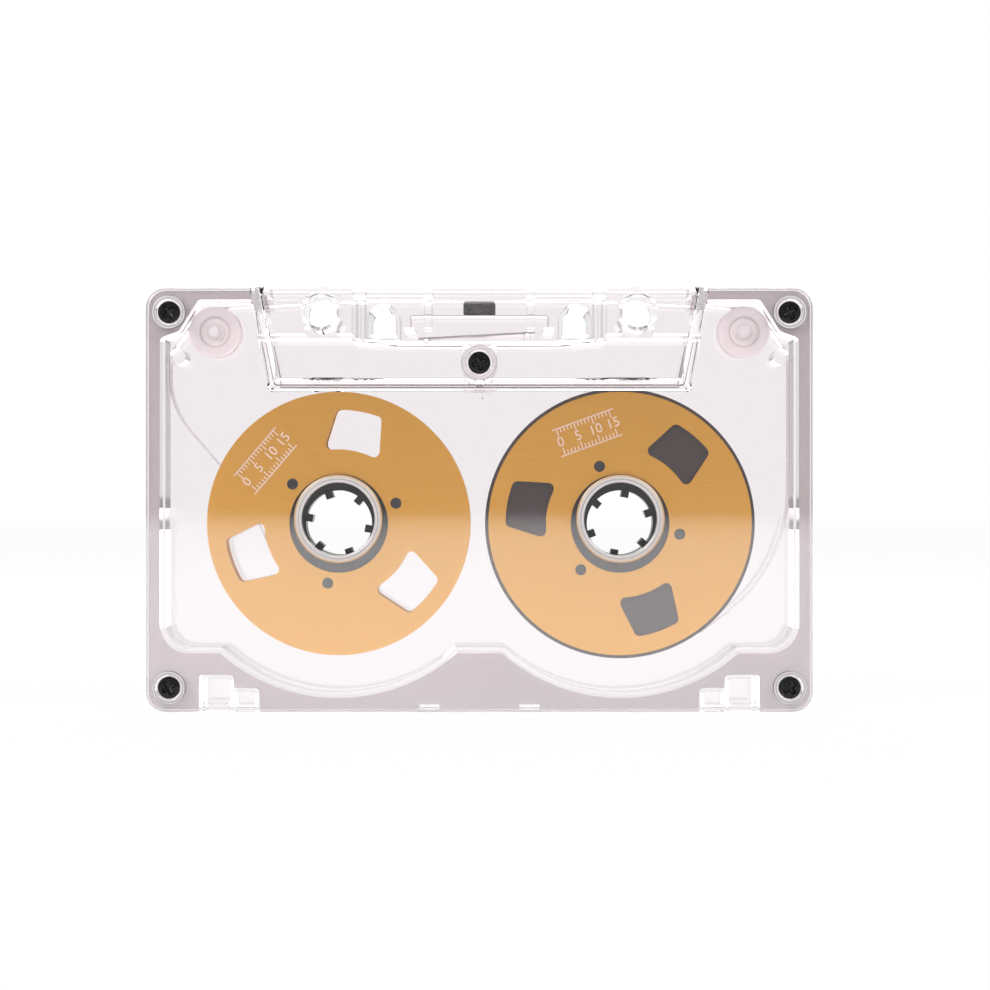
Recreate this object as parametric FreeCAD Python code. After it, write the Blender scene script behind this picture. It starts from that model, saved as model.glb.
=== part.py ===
"""Audio cassette with a clear shell and two gold open reels, one STEP file per piece.

X is the long side, Y the thickness with the front face towards -Y, and Z is up. The tape edge is
at the top. The origin is the middle of the bottom edge. Lengths are in millimetres.
"""
import FreeCAD, Part
import math
import os

Vector = FreeCAD.Vector

# Closed shell: overall sizes and moulded walls
shell_width = 100.4
shell_height = 63.8
body_thickness = 8.7
corner_radius = 3.0
edge_round = 0.35
face_plate = 1.2
parting_gap = 0.02
fit_gap = 0.05

# Raised block over the tape edge, half-widths taken where it meets the face
block_rise = 1.65
block_run = 1.5
block_top_half = 34.5
block_foot_half = 32.0
block_foot_drop = 15.4
block_wall = 1.2
block_roof = 1.35
edge_wall = 1.2

# Tape chamber: the clear wall that the grey surround fits round
side_rail = 2.0
bottom_rail = 8.8
top_rail = 1.7
chamber_wall = 0.85
chamber_top_wall = 0.5
chamber_corner = 4.5
reel_bay_floor = 2.05
reel_bay_side = 0.05
lobe_reach_x = 1.4
lobe_reach_z = 2.9
lobe_start_x = 4.4
lobe_start_z = 3.9
lobe_radius = 1.5
lobe_blend = 1.0
roller_bay_gap = 0.1
roller_bay_wall = 0.4

# Grey surround
frame_inset = 0.35

# Reels
hub_spacing = 42.5
hub_height_share = 0.45533
hub_hole_radius = 5.5
collar_radius = 6.6
collar_tip_wall = 0.25
collar_clearance = 0.12
reel_drop = 0.7
tape_width = 3.81
tape_side_gap = 0.15
flange_thickness = 0.4
reel_room_share = 0.7412
reel_half_gap = 1.35
flange_hole_clearance = 0.15
window_past_hub = 0.2
window_ring_share = 0.7079
window_inner_angle = 45.0
window_outer_angle = 23.0
window_corner = 0.9
window_count = 3
hub_radius = 11.0
hub_bore_radius = 5.0
tooth_tip_radius = 4.0
tooth_width = 1.1
tooth_count = 6
tooth_angle = 30.0
peg_circle_radius = 9.17
peg_radius = 0.8
peg_angle = 60.0
clamp_angle = 34.0
clamp_depth = 2.6
clamp_gap = 0.08
pack_overhang = 0.5
pack_clearance = 0.02
left_reel_angle = 79.5
right_reel_angle = 49.7

# Guide rollers, their pins and the fixed guide posts
roller_edge_x = 10.2
roller_drop = 6.5
roller_radius = 3.85
roller_body_radius = 3.45
roller_rim = 0.35
roller_end_gap = 0.12
roller_bore_clearance = 0.06
roller_groove_inner = 1.35
roller_groove_outer = 2.4
roller_groove_depth = 0.8
pin_radius = 0.75
pin_seat = 0.6
pin_boss_radius = 1.6
post_edge_x = 4.7
post_drop = 10.3
post_radius = 1.2

# Screws
screw_edge_x = 3.4
screw_edge_z = 3.6
centre_screw_drop = 11.3
screw_head_radius = 1.75
screw_head_height = 1.1
screw_head_sink = 0.3
screw_shank_radius = 1.0
screw_tip_length = 1.0
screw_end_cover = 1.2
screw_play = 0.04
counterbore_radius = 1.92
corner_boss_radius = 2.45
centre_boss_radius = 2.8
cross_width = 0.5
cross_length = 2.2
cross_depth = 0.6

# Holes for the deck's capstans and locating pins
capstan_x = 23.85
capstan_drop = 3.6
capstan_radius = 2.4
capstan_chamfer = 0.55
capstan_chamfer_depth = 0.25
capstan_relief = 0.6
locating_x = 14.43
locating_width = 3.9
locating_height = 4.2
locating_drop = 7.16
locating_sleeve = 0.5

# Tape edge: openings between the webs
head_opening_half = 7.1
web_inner_half = 8.4
web_outer_half = 17.2
capstan_opening_start = 19.1
capstan_opening_end = 31.6
deep_opening_reach = 4.0
shallow_opening_reach = 2.5
lug_drop = 3.3
lug_inner_reach = 2.3

# Ribs of the head room, measured down from the tape edge
guide_rib_drop = 2.1
guide_rib_foot = 8.0
guide_rib_inner = 17.3
guide_rib_outer = 19.2
guide_rib_wall = 0.6
partition_drop = 6.9
partition_wall = 0.7
partition_end = 33.3
capstan_block_half = 2.4
capstan_block_height = 1.0
sag_start_drop = 7.6
sag_middle_x = 12.1
sag_drop = 8.6
sag_wall = 0.5
seat_inner = 9.7
seat_outer = 11.2
seat_height = 0.5
spring_post_x = 7.75
spring_post_width = 1.1
spring_post_top_drop = 2.2

# Pressure pad, its leaf spring and the shield plate
pad_width = 4.9
pad_depth = 4.2
pad_height = 2.1
pad_top_drop = 1.87
spring_half = 10.5
spring_leg = 2.0
spring_sheet = 0.15
spring_depth = 4.4
spring_bend = 0.5
spring_side_gap = 0.15
shield_length = 17.6
shield_sheet = 0.3
shield_depth = 5.6
shield_tilt = 3.1
shield_centre_x = -0.4
shield_drop = 7.1
shield_pin_radius = 0.45
shield_pin_inset = 1.2
shield_gap = 0.05

# Leader tape
leader_sheet = 0.1
leader_gap = 0.1
left_slack_share = 0.603
left_slack_run = 0.57
right_slack_height = 0.2739
right_slack_share = 1.206
hub_slack_share = 0.7538
hub_slack_gap = 0.9
hub_slack_angle = 188.9

# Write-protect pockets and the notches in the bottom edge
pocket_outer_x = 7.9
pocket_step_x = 13.3
pocket_inner_x = 17.1
pocket_tall = 5.6
pocket_low = 3.6
pocket_wall = 0.6
pocket_corner = 0.6
tab_height = 0.7
tab_raise = 0.45
tab_slit = 0.3
notch_centre_x = 7.6
notch_width = 3.1
notch_height = 1.1

# Sizes that follow from the ones above
face_y = body_thickness / 2
plate_y = face_y - face_plate
block_y = face_y + block_rise
recess_y = block_y - block_roof
shell_half = shell_width / 2
hub_x = hub_spacing / 2
hub_hole_z = shell_height * hub_height_share
reel_z = hub_hole_z - reel_drop
chamber_half = shell_half - side_rail
reel_bay_radius = min(chamber_half + reel_bay_side - hub_x, hub_hole_z - reel_bay_floor)
chamber_top = shell_height - top_rail
screw_x = shell_half - screw_edge_x
top_screw_z = shell_height - screw_edge_z
bottom_screw_z = screw_edge_z
centre_screw_z = shell_height - centre_screw_drop
roller_x = shell_half - roller_edge_x
roller_z = shell_height - roller_drop
post_x = shell_half - post_edge_x
post_z = shell_height - post_drop
capstan_z = shell_height - capstan_drop
flange_inner_y = tape_width / 2 + tape_side_gap
flange_outer_y = flange_inner_y + flange_thickness
flange_hole_radius = collar_radius + reel_drop + flange_hole_clearance
flange_radius = min(hub_x - reel_half_gap, (shell_height - sag_drop - reel_z) * reel_room_share)
window_inner_radius = hub_radius + window_past_hub
window_outer_radius = hub_radius + (flange_radius - hub_radius) * window_ring_share
pack_radius = flange_radius + pack_overhang
guide_rib_top = shell_height - guide_rib_drop
spring_z = shell_height - pad_top_drop - pad_height
roller_outer_y = flange_outer_y - roller_end_gap / 2
overlap = 0.01


def rounded_wire(corners, y):
    """Closed wire through (x, z, radius) corners at height y, each an arc tangent to its sides."""
    spans = []
    for index, (x, z, radius) in enumerate(corners):
        corner = Vector(x, y, z)
        last = corners[index - 1]
        following = corners[(index + 1) % len(corners)]
        back = Vector(last[0] - x, 0, last[1] - z).normalize()
        ahead = Vector(following[0] - x, 0, following[1] - z).normalize()
        if radius <= 0:
            spans.append((corner, corner, corner))
            continue
        half_angle = back.getAngle(ahead) / 2
        reach = radius / math.tan(half_angle)
        inward = (back + ahead).normalize()
        middle = corner + inward * (radius / math.sin(half_angle) - radius)
        spans.append((corner + back * reach, middle, corner + ahead * reach))
    edges = []
    for index, (start, middle, end) in enumerate(spans):
        following_start = spans[(index + 1) % len(spans)][0]
        if (end - start).Length > 0:
            edges.append(Part.Arc(start, middle, end).toShape())
        if (following_start - end).Length > 1e-6:
            edges.append(Part.LineSegment(end, following_start).toShape())
    return Part.Wire(edges)


def prism(corners, low, high):
    """Solid with a rounded outline in X and Z, from y = low to y = high."""
    return Part.Face(rounded_wire(corners, low)).extrude(Vector(0, high - low, 0))


def disc(x, z, radius, low, high):
    """Cylinder along Y."""
    return Part.makeCylinder(radius, high - low, Vector(x, low, z), Vector(0, 1, 0))


def block(x_low, x_high, y_low, y_high, z_low, z_high):
    """Box between two corners."""
    corner = Vector(x_low, y_low, z_low)
    return Part.makeBox(x_high - x_low, y_high - y_low, z_high - z_low, corner)


def sided(side, x_near, x_far, y_low, y_high, z_low, z_high):
    """Box on one side of the middle, x_near and x_far counted outwards from it."""
    ends = sorted((side * x_near, side * x_far))
    return block(ends[0], ends[1], y_low, y_high, z_low, z_high)


def fused(shapes):
    """One solid from shapes that touch or overlap."""
    result = shapes[0]
    for shape in shapes[1:]:
        result = result.fuse(shape)
    return result.removeSplitter()


def both_sides(make):
    """The shapes that make(side) gives on the left and on the right."""
    shapes = []
    for side in (-1, 1):
        shapes.extend(make(side))
    return shapes


def box_corners(half_width, bottom, top, radius):
    """Corners of a rounded rectangle centred on X = 0, counterclockwise from the bottom right."""
    return [
        (half_width, bottom, radius),
        (half_width, top, radius),
        (-half_width, top, radius),
        (-half_width, bottom, radius),
    ]


def polar(x, z, radius, degrees):
    """Point at a radius and an angle, counted counterclockwise from +X as seen from the front."""
    angle = math.radians(degrees)
    return x + radius * math.cos(angle), z + radius * math.sin(angle)


def moved_in(corners, insets):
    """Counterclockwise outline with side i, from corner i to the next, moved inwards by insets[i]."""
    moved = []
    for index, (x, z, radius) in enumerate(corners):
        last = corners[index - 1]
        following = corners[(index + 1) % len(corners)]
        normals = []
        for start, end in ((last, (x, z)), ((x, z), following)):
            length = math.hypot(end[0] - start[0], end[1] - start[1])
            normals.append(((start[1] - end[1]) / length, (end[0] - start[0]) / length))
        (ax, az), (bx, bz) = normals
        first = insets[index - 1]
        second = insets[index]
        turn = ax * bz - az * bx
        shift = (first + second) / 2
        moved.append((x + (first * bz - second * az) / turn, z + (second * ax - first * bx) / turn,
                      radius - shift if turn > 0 else radius + shift))
    return moved


def chamber_corners(side_inset, lobe_inset, top_inset):
    """Outline of the tape chamber, moved inwards by the walls at the sides, lobes and top."""
    right = [
        (chamber_half, bottom_rail, chamber_corner),
        (chamber_half, top_screw_z - lobe_start_z, lobe_blend),
        (screw_x - lobe_reach_x, top_screw_z - lobe_reach_z, lobe_radius),
        (screw_x - lobe_start_x, chamber_top, lobe_blend),
    ]
    left = [(-x, z, radius) for x, z, radius in reversed(right)]
    insets = [side_inset, lobe_inset, lobe_inset, top_inset, lobe_inset, lobe_inset, side_inset, side_inset]
    return moved_in(right + left, insets)


def chamber(side_inset, lobe_inset, top_inset, low, high):
    """Room for the reels and rollers: the outline, a bay under each reel and one by each roller."""
    roller_bay = roller_radius + roller_bay_gap + roller_bay_wall - lobe_inset
    shapes = [prism(chamber_corners(side_inset, lobe_inset, top_inset), low, high)]
    for side in (-1, 1):
        shapes.append(disc(side * hub_x, hub_hole_z, reel_bay_radius - side_inset, low, high))
        shapes.append(disc(side * roller_x, roller_z, roller_bay, low, high))
    return fused(shapes)


def block_wire(inset, y, top):
    """Four-sided outline of the raised block, moved inwards by inset at its sides and foot."""
    foot = shell_height - block_foot_drop + inset
    points = [
        Vector(block_foot_half - inset, y, foot),
        Vector(block_top_half - inset, y, top),
        Vector(-block_top_half + inset, y, top),
        Vector(-block_foot_half + inset, y, foot),
    ]
    return Part.makePolygon(points + points[:1])


def tapered(inset_low, y_low, inset_high, y_high, top):
    """Solid between two outlines of the raised block."""
    wires = [block_wire(inset_low, y_low, top), block_wire(inset_high, y_high, top)]
    return Part.makeLoft(wires, True, True)


def arch(x, bottom, width, height, low, high):
    """Hole shape with a flat foot and a round top."""
    half = width / 2
    middle = bottom + height - half
    foot = block(x - half, x + half, low, high, bottom, middle)
    return foot.fuse(disc(x, middle, half, low, high)).removeSplitter()


def face_plate_solid():
    """Flat face with rounded outer edges and the raised block over the tape edge."""
    outline = box_corners(shell_half, 0, shell_height, corner_radius)
    plate = prism(outline, plate_y, face_y)
    rim = [edge for edge in plate.Edges if all(abs(v.Y - face_y) < overlap for v in edge.Vertexes)]
    plate = plate.makeFillet(edge_round, rim)
    base = tapered(0, plate_y, 0, face_y, shell_height)
    raised = tapered(0, face_y, block_run, block_y, shell_height)
    run_per_rise = block_run / block_rise
    wall_shift = block_wall * math.hypot(1, run_per_rise)
    low_inset = wall_shift - run_per_rise * (face_y - plate_y)
    high_inset = wall_shift + run_per_rise * (recess_y - face_y)
    recess = tapered(low_inset, plate_y, high_inset, recess_y, shell_height - edge_wall)
    return fused([plate, base, raised]).cut(recess)


def chamber_ribs():
    """Wall round the tape chamber, reel collars, roller bosses, guide posts and screw bosses."""
    outer = chamber(0, 0, 0, parting_gap / 2, plate_y)
    inner = chamber(chamber_wall, roller_bay_wall, chamber_top_wall, parting_gap / 2 - overlap, plate_y)
    mouth_half = block_top_half - fit_gap
    mouth_foot = chamber_top - chamber_wall - partition_drop
    mouth = block(-mouth_half, mouth_half, 0, plate_y, mouth_foot, shell_height)
    ribs = [outer.cut(inner).cut(mouth)]
    for side in (-1, 1):
        tip_y = flange_inner_y + collar_clearance
        ribs.append(Part.makeCone(hub_hole_radius + collar_tip_wall, collar_radius, plate_y - tip_y,
                                  Vector(side * hub_x, tip_y, hub_hole_z), Vector(0, 1, 0)))
        ribs.append(disc(side * roller_x, roller_z, pin_boss_radius, roller_outer_y + roller_end_gap, plate_y))
        ribs.append(disc(side * post_x, post_z, post_radius, parting_gap / 2, plate_y))
        for z in (bottom_screw_z, top_screw_z):
            ribs.append(disc(side * screw_x, z, corner_boss_radius, parting_gap / 2, plate_y))
    ribs.append(disc(0, centre_screw_z, centre_boss_radius, parting_gap / 2, recess_y))
    return ribs


def head_room_ribs(side):
    """Ribs behind the tape edge on one side: webs, tape guides, partition and spring posts."""
    low = parting_gap / 2
    top = shell_height - edge_wall
    foot = shell_height - guide_rib_foot
    partition = shell_height - partition_drop
    ribs = [
        sided(side, 0, block_top_half, low, recess_y, top, shell_height),
        sided(side, capstan_opening_end, block_top_half, lug_inner_reach, plate_y,
              shell_height - lug_drop, shell_height),
        sided(side, guide_rib_inner, guide_rib_inner + guide_rib_wall, low, recess_y, foot, guide_rib_top),
        sided(side, guide_rib_outer - guide_rib_wall, guide_rib_outer, low, recess_y, foot, guide_rib_top),
        sided(side, guide_rib_outer - guide_rib_wall, partition_end, low, plate_y,
              partition - partition_wall, partition),
        sided(side, guide_rib_outer - guide_rib_wall, block_foot_half - block_run, low, recess_y,
              partition - partition_wall, partition),
        sided(side, capstan_x - capstan_block_half, capstan_x + capstan_block_half, low, recess_y,
              partition - partition_wall, partition + capstan_block_height),
    ]
    sag_top = shell_height - sag_start_drop
    sag_foot = shell_height - sag_drop
    sag = [
        (side * guide_rib_outer, sag_top, 0),
        (side * sag_middle_x, sag_foot + sag_wall, 0),
        (0, sag_foot + sag_wall, 0),
        (0, sag_foot, 0),
        (side * sag_middle_x, sag_foot, 0),
        (side * guide_rib_outer, sag_top - sag_wall, 0),
    ]
    ribs.append(prism(sag, low, recess_y))
    leg_foot = spring_z - spring_leg - fit_gap
    ribs.append(sided(side, seat_inner, seat_outer, low, recess_y, leg_foot - seat_height, leg_foot))
    post_near = spring_post_x - spring_post_width / 2
    post_far = spring_post_x + spring_post_width / 2
    spring_top = spring_z + fit_gap
    post_top = shell_height - spring_post_top_drop
    ribs.append(sided(side, post_near, post_far, low, recess_y, spring_top, post_top))
    guide_y = spring_depth / 2 + spring_side_gap
    ribs.append(sided(side, post_near, post_far, guide_y, recess_y, leg_foot, spring_top))
    sleeve_foot = shell_height - locating_drop - locating_sleeve
    ribs.append(arch(side * locating_x, sleeve_foot, locating_width + 2 * locating_sleeve,
                     locating_height + 2 * locating_sleeve, low, recess_y))
    pin_x, pin_z = shield_pin(side)
    ribs.append(disc(pin_x, pin_z, shield_pin_radius, low, recess_y))
    return ribs


def shield_pin(side):
    """Centre of the pin that the shield plate rests on, near one of its ends."""
    along = shield_length / 2 - shield_pin_inset
    below = shield_sheet / 2 + shield_gap + shield_pin_radius
    tilt = math.radians(shield_tilt)
    x = shield_centre_x + side * along * math.cos(tilt) + below * math.sin(tilt)
    z = shell_height - shield_drop + side * along * math.sin(tilt) - below * math.cos(tilt)
    return x, z


def pocket_corners(side, inset):
    """Stepped outline of the write-protect pocket, open at the bottom edge."""
    outer_x = shell_half - pocket_outer_x - inset
    step_x = shell_half - pocket_step_x + inset
    inner_x = shell_half - pocket_inner_x + inset
    corners = [
        (outer_x, frame_inset, 0),
        (outer_x, pocket_tall - inset, pocket_corner),
        (step_x, pocket_tall - inset, pocket_corner),
        (step_x, pocket_low - inset, 0),
        (inner_x, pocket_low - inset, pocket_corner),
        (inner_x, frame_inset, 0),
    ]
    placed = [(side * x, z, radius) for x, z, radius in corners]
    return placed if side > 0 else placed[::-1]


def pocket_ribs(side):
    """Thin wall round the write-protect pocket, its web and the tab that closes it."""
    low = parting_gap / 2
    wall = prism(pocket_corners(side, fit_gap), low, plate_y)
    wall = wall.cut(prism(pocket_corners(side, fit_gap + pocket_wall), low - overlap, plate_y))
    outer_x = shell_half - pocket_outer_x - fit_gap - pocket_wall
    step_x = shell_half - pocket_step_x + fit_gap
    web = sided(side, step_x, step_x + pocket_wall, low, plate_y, frame_inset, pocket_low - fit_gap)
    tab = sided(side, step_x + pocket_wall + tab_slit, outer_x - tab_slit, low, plate_y,
                tab_raise, tab_raise + tab_height)
    return [wall, web, tab]


def shell_holes():
    """Everything cut through or into both halves."""
    cuts = []
    for side in (-1, 1):
        cuts.append(disc(side * hub_x, hub_hole_z, hub_hole_radius, 0, block_y))
        x = side * capstan_x
        cuts.append(disc(x, capstan_z, capstan_radius, 0, block_y + overlap))
        cuts.append(disc(x, capstan_z, capstan_radius + capstan_relief, 0, recess_y))
        flare = Part.makeCone(capstan_radius, capstan_radius + capstan_chamfer, capstan_chamfer_depth,
                              Vector(x, block_y - capstan_chamfer_depth, capstan_z), Vector(0, 1, 0))
        cuts.append(flare)
        cuts.append(arch(side * locating_x, shell_height - locating_drop, locating_width,
                         locating_height, 0, block_y + overlap))
        cuts.append(disc(side * roller_x, roller_z, pin_radius + screw_play / 2, 0, plate_y + pin_seat))
        top = shell_height + overlap
        foot = shell_height - edge_wall
        cuts.append(sided(side, -overlap, head_opening_half, 0, deep_opening_reach, foot, top))
        cuts.append(sided(side, web_inner_half, web_outer_half, 0, shallow_opening_reach, foot, top))
        cuts.append(sided(side, capstan_opening_start, capstan_opening_end, 0, deep_opening_reach, foot, top))
    return cuts


def half_shell():
    """One half on the +Y side, before its screw holes."""
    ribs = chamber_ribs() + both_sides(head_room_ribs) + both_sides(pocket_ribs)
    half = fused([face_plate_solid()] + ribs)
    for cut in shell_holes():
        half = half.cut(cut)
    return half


def screw_places():
    """(x, z, height of the outer face) of each screw, the centre one last."""
    corners = [(side * screw_x, z, face_y) for side in (-1, 1) for z in (bottom_screw_z, top_screw_z)]
    return corners + [(0, centre_screw_z, block_y)]


def front_shell(half):
    """Front half, mirrored to -Y, with a counterbore and a clearance hole for each screw."""
    for x, z, outer_y in screw_places():
        seat_y = outer_y - screw_head_sink - screw_head_height
        half = half.cut(disc(x, z, counterbore_radius, seat_y, outer_y + overlap))
        half = half.cut(disc(x, z, screw_shank_radius + screw_play, 0, outer_y))
    return half.mirror(Vector(0, 0, 0), Vector(0, 1, 0))


def rear_shell(half):
    """Rear half, with a blind hole for each screw."""
    for x, z, outer_y in screw_places():
        half = half.cut(disc(x, z, screw_shank_radius + screw_play, 0, outer_y - screw_end_cover))
    return half


def surround_frame():
    """Grey U-shaped surround, held between the halves outside the tape chamber."""
    high = plate_y - fit_gap
    outline = box_corners(shell_half - frame_inset, frame_inset, shell_height - frame_inset,
                          corner_radius - frame_inset)
    frame = prism(outline, -high, high)
    room = chamber(-fit_gap, -fit_gap, -fit_gap, -high - overlap, high + overlap)
    frame = frame.cut(room)
    mouth_half = block_top_half + fit_gap
    frame = frame.cut(block(-mouth_half, mouth_half, -high, high, shell_height / 2, shell_height))
    for side in (-1, 1):
        for z in (bottom_screw_z, top_screw_z):
            frame = frame.cut(disc(side * screw_x, z, corner_boss_radius + fit_gap, -high, high))
        pocket = prism(pocket_corners(side, 0), -high, high)
        frame = frame.cut(pocket)
        notch_near = notch_centre_x - notch_width / 2
        notch_far = notch_centre_x + notch_width / 2
        frame = frame.cut(sided(side, notch_near, notch_far, -high, high, 0, notch_height))
    return frame


def window(x, angle, low, high):
    """Reel window: arcs at its inner and outer edge, straight sides and rounded corners."""
    inner_left = polar(x, reel_z, window_inner_radius, angle + window_inner_angle / 2)
    inner_right = polar(x, reel_z, window_inner_radius, angle - window_inner_angle / 2)
    inner_middle = polar(x, reel_z, window_inner_radius, angle)
    outer_left = polar(x, reel_z, window_outer_radius, angle + window_outer_angle / 2)
    outer_right = polar(x, reel_z, window_outer_radius, angle - window_outer_angle / 2)
    outer_middle = polar(x, reel_z, window_outer_radius, angle)
    point = {name: Vector(place[0], low, place[1]) for name, place in (
        ("il", inner_left), ("im", inner_middle), ("ir", inner_right),
        ("ol", outer_left), ("om", outer_middle), ("or", outer_right))}
    edges = [
        Part.Arc(point["il"], point["im"], point["ir"]).toShape(),
        Part.LineSegment(point["ir"], point["or"]).toShape(),
        Part.Arc(point["or"], point["om"], point["ol"]).toShape(),
        Part.LineSegment(point["ol"], point["il"]).toShape(),
    ]
    solid = Part.Face(Part.Wire(edges)).extrude(Vector(0, high - low, 0))
    upright = [edge for edge in solid.Edges if abs(edge.Vertexes[0].Y - edge.Vertexes[1].Y) > overlap]
    return solid.makeFillet(window_corner, upright)


def flange(side, reel_angle, inner_y, outer_y):
    """Thin reel flange between two heights, with its windows and holes for the hub's pegs."""
    x = side * hub_x
    low, high = sorted((inner_y, outer_y))
    solid = disc(x, reel_z, flange_radius, low, high)
    solid = solid.cut(disc(x, reel_z, flange_hole_radius, low, high))
    for index in range(window_count):
        angle = reel_angle + index * 360 / window_count
        solid = solid.cut(window(x, angle, low, high))
        peg_x, peg_z = polar(x, reel_z, peg_circle_radius, angle + peg_angle)
        solid = solid.cut(disc(peg_x, peg_z, peg_radius + clamp_gap / 2, low, high))
    return solid


def clamp_sector(side, reel_angle, grow):
    """Part of the hub's rim under one window, where the tape's end is clamped."""
    x = side * hub_x
    half_angle = clamp_angle / 2
    middle = reel_angle + 360 / window_count
    ring = disc(x, reel_z, hub_radius, -flange_inner_y, flange_inner_y)
    ring = ring.cut(disc(x, reel_z, hub_radius - clamp_depth - grow, -flange_inner_y, flange_inner_y))
    reach = 2 * hub_radius
    spread = math.degrees(grow / hub_radius)
    points = [Vector(x, -flange_inner_y, reel_z)]
    for offset in (-half_angle - spread, 0, half_angle + spread):
        px, pz = polar(x, reel_z, reach, middle + offset)
        points.append(Vector(px, -flange_inner_y, pz))
    wedge = Part.Face(Part.makePolygon(points + points[:1])).extrude(Vector(0, 2 * flange_inner_y, 0))
    return ring.common(wedge)


def hub(side, reel_angle):
    """Black hub: rim, bore with drive teeth, pegs through both flanges, seat for the clamp."""
    x = side * hub_x
    solid = disc(x, reel_z, hub_radius, -flange_inner_y, flange_inner_y)
    solid = solid.cut(disc(x, reel_z, hub_bore_radius, -flange_inner_y, flange_inner_y))
    pieces = [solid.cut(clamp_sector(side, reel_angle, clamp_gap))]
    for index in range(tooth_count):
        angle = reel_angle - tooth_angle + index * 360 / tooth_count
        tooth = block(tooth_tip_radius, hub_bore_radius + tooth_width / 2, -flange_inner_y, flange_inner_y,
                      -tooth_width / 2, tooth_width / 2)
        tooth.rotate(Vector(0, 0, 0), Vector(0, -1, 0), angle)
        tooth.translate(Vector(x, 0, reel_z))
        pieces.append(tooth)
    for index in range(window_count):
        angle = reel_angle + peg_angle + index * 360 / window_count
        peg_x, peg_z = polar(x, reel_z, peg_circle_radius, angle)
        pieces.append(disc(peg_x, peg_z, peg_radius, -flange_outer_y, flange_outer_y))
    return fused(pieces)


def tape_pack():
    """Wound tape on the right hub, its turns one solid ring."""
    low = -tape_width / 2
    high = tape_width / 2
    pack = disc(hub_x, reel_z, pack_radius, low, high)
    return pack.cut(disc(hub_x, reel_z, hub_radius + pack_clearance, low, high))


def guide_roller(side):
    """Roller with a thin rim at each end and a groove in each face, turning on its pin."""
    bore = pin_radius + roller_bore_clearance
    end = roller_outer_y
    rim = end - roller_rim
    groove = end - roller_groove_depth
    profile = [
        (bore, 0), (roller_body_radius, 0), (roller_body_radius, rim), (roller_radius, rim),
        (roller_radius, end), (roller_groove_outer, end), (roller_groove_outer, groove),
        (roller_groove_inner, groove), (roller_groove_inner, end), (bore, end),
    ]
    upper = [Vector(radius, y, 0) for radius, y in profile[1:]]
    lower = [Vector(radius, -y, 0) for radius, y in reversed(profile[2:])]
    outline = upper + lower
    roller = Part.Face(Part.makePolygon(outline + outline[:1]))
    roller = roller.revolve(Vector(0, 0, 0), Vector(0, 1, 0), 360)
    roller.translate(Vector(side * roller_x, 0, roller_z))
    return roller


def roller_pin(side):
    """Steel pin, seated in a blind hole in each half."""
    reach = plate_y + pin_seat - fit_gap
    return disc(side * roller_x, roller_z, pin_radius, -reach, reach)


def pressure_pad():
    """Felt block on the middle of the leaf spring."""
    low = spring_z
    pad = block(-pad_width / 2, pad_width / 2, -pad_depth / 2, pad_depth / 2, low, low + pad_height)
    crown = [edge for edge in pad.Edges if all(v.Z > low + pad_height / 2 for v in edge.Vertexes)]
    return pad.makeFillet(pad_height / 8, crown)


def pad_spring():
    """Leaf spring: a flat strip with both ends bent down as legs."""
    top = spring_z
    foot = top - spring_leg
    inner = spring_half - spring_sheet
    corners = [
        (spring_half, foot, 0), (spring_half, top, spring_bend),
        (-spring_half, top, spring_bend), (-spring_half, foot, 0),
        (-inner, foot, 0), (-inner, top - spring_sheet, spring_bend - spring_sheet),
        (inner, top - spring_sheet, spring_bend - spring_sheet), (inner, foot, 0),
    ]
    return prism(corners, -spring_depth / 2, spring_depth / 2)


def shield_plate():
    """Flat magnetic shield behind the spring, lying a little out of level."""
    plate = block(-shield_length / 2, shield_length / 2, -shield_depth / 2, shield_depth / 2,
                  -shield_sheet / 2, shield_sheet / 2)
    plate.rotate(Vector(0, 0, 0), Vector(0, -1, 0), shield_tilt)
    plate.translate(Vector(shield_centre_x, 0, shell_height - shield_drop))
    return plate


def screw(x, z, outer_y):
    """Countersunk-flush tapping screw from the front, with a cross recess and a pointed tip."""
    head_top = outer_y - screw_head_sink
    seat = head_top - screw_head_height + fit_gap
    end = outer_y - screw_end_cover - fit_gap
    shank_end = end - screw_tip_length
    head = disc(x, z, screw_head_radius, -head_top, -seat)
    for length, width in ((cross_length, cross_width), (cross_width, cross_length)):
        slot = block(x - length / 2, x + length / 2, -head_top - overlap, -head_top + cross_depth,
                     z - width / 2, z + width / 2)
        head = head.cut(slot)
    shank = disc(x, z, screw_shank_radius, -seat, shank_end)
    tip = Part.makeCone(screw_shank_radius, screw_shank_radius / 4, screw_tip_length,
                        Vector(x, shank_end, z), Vector(0, 1, 0))
    return fused([head, shank, tip])


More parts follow.
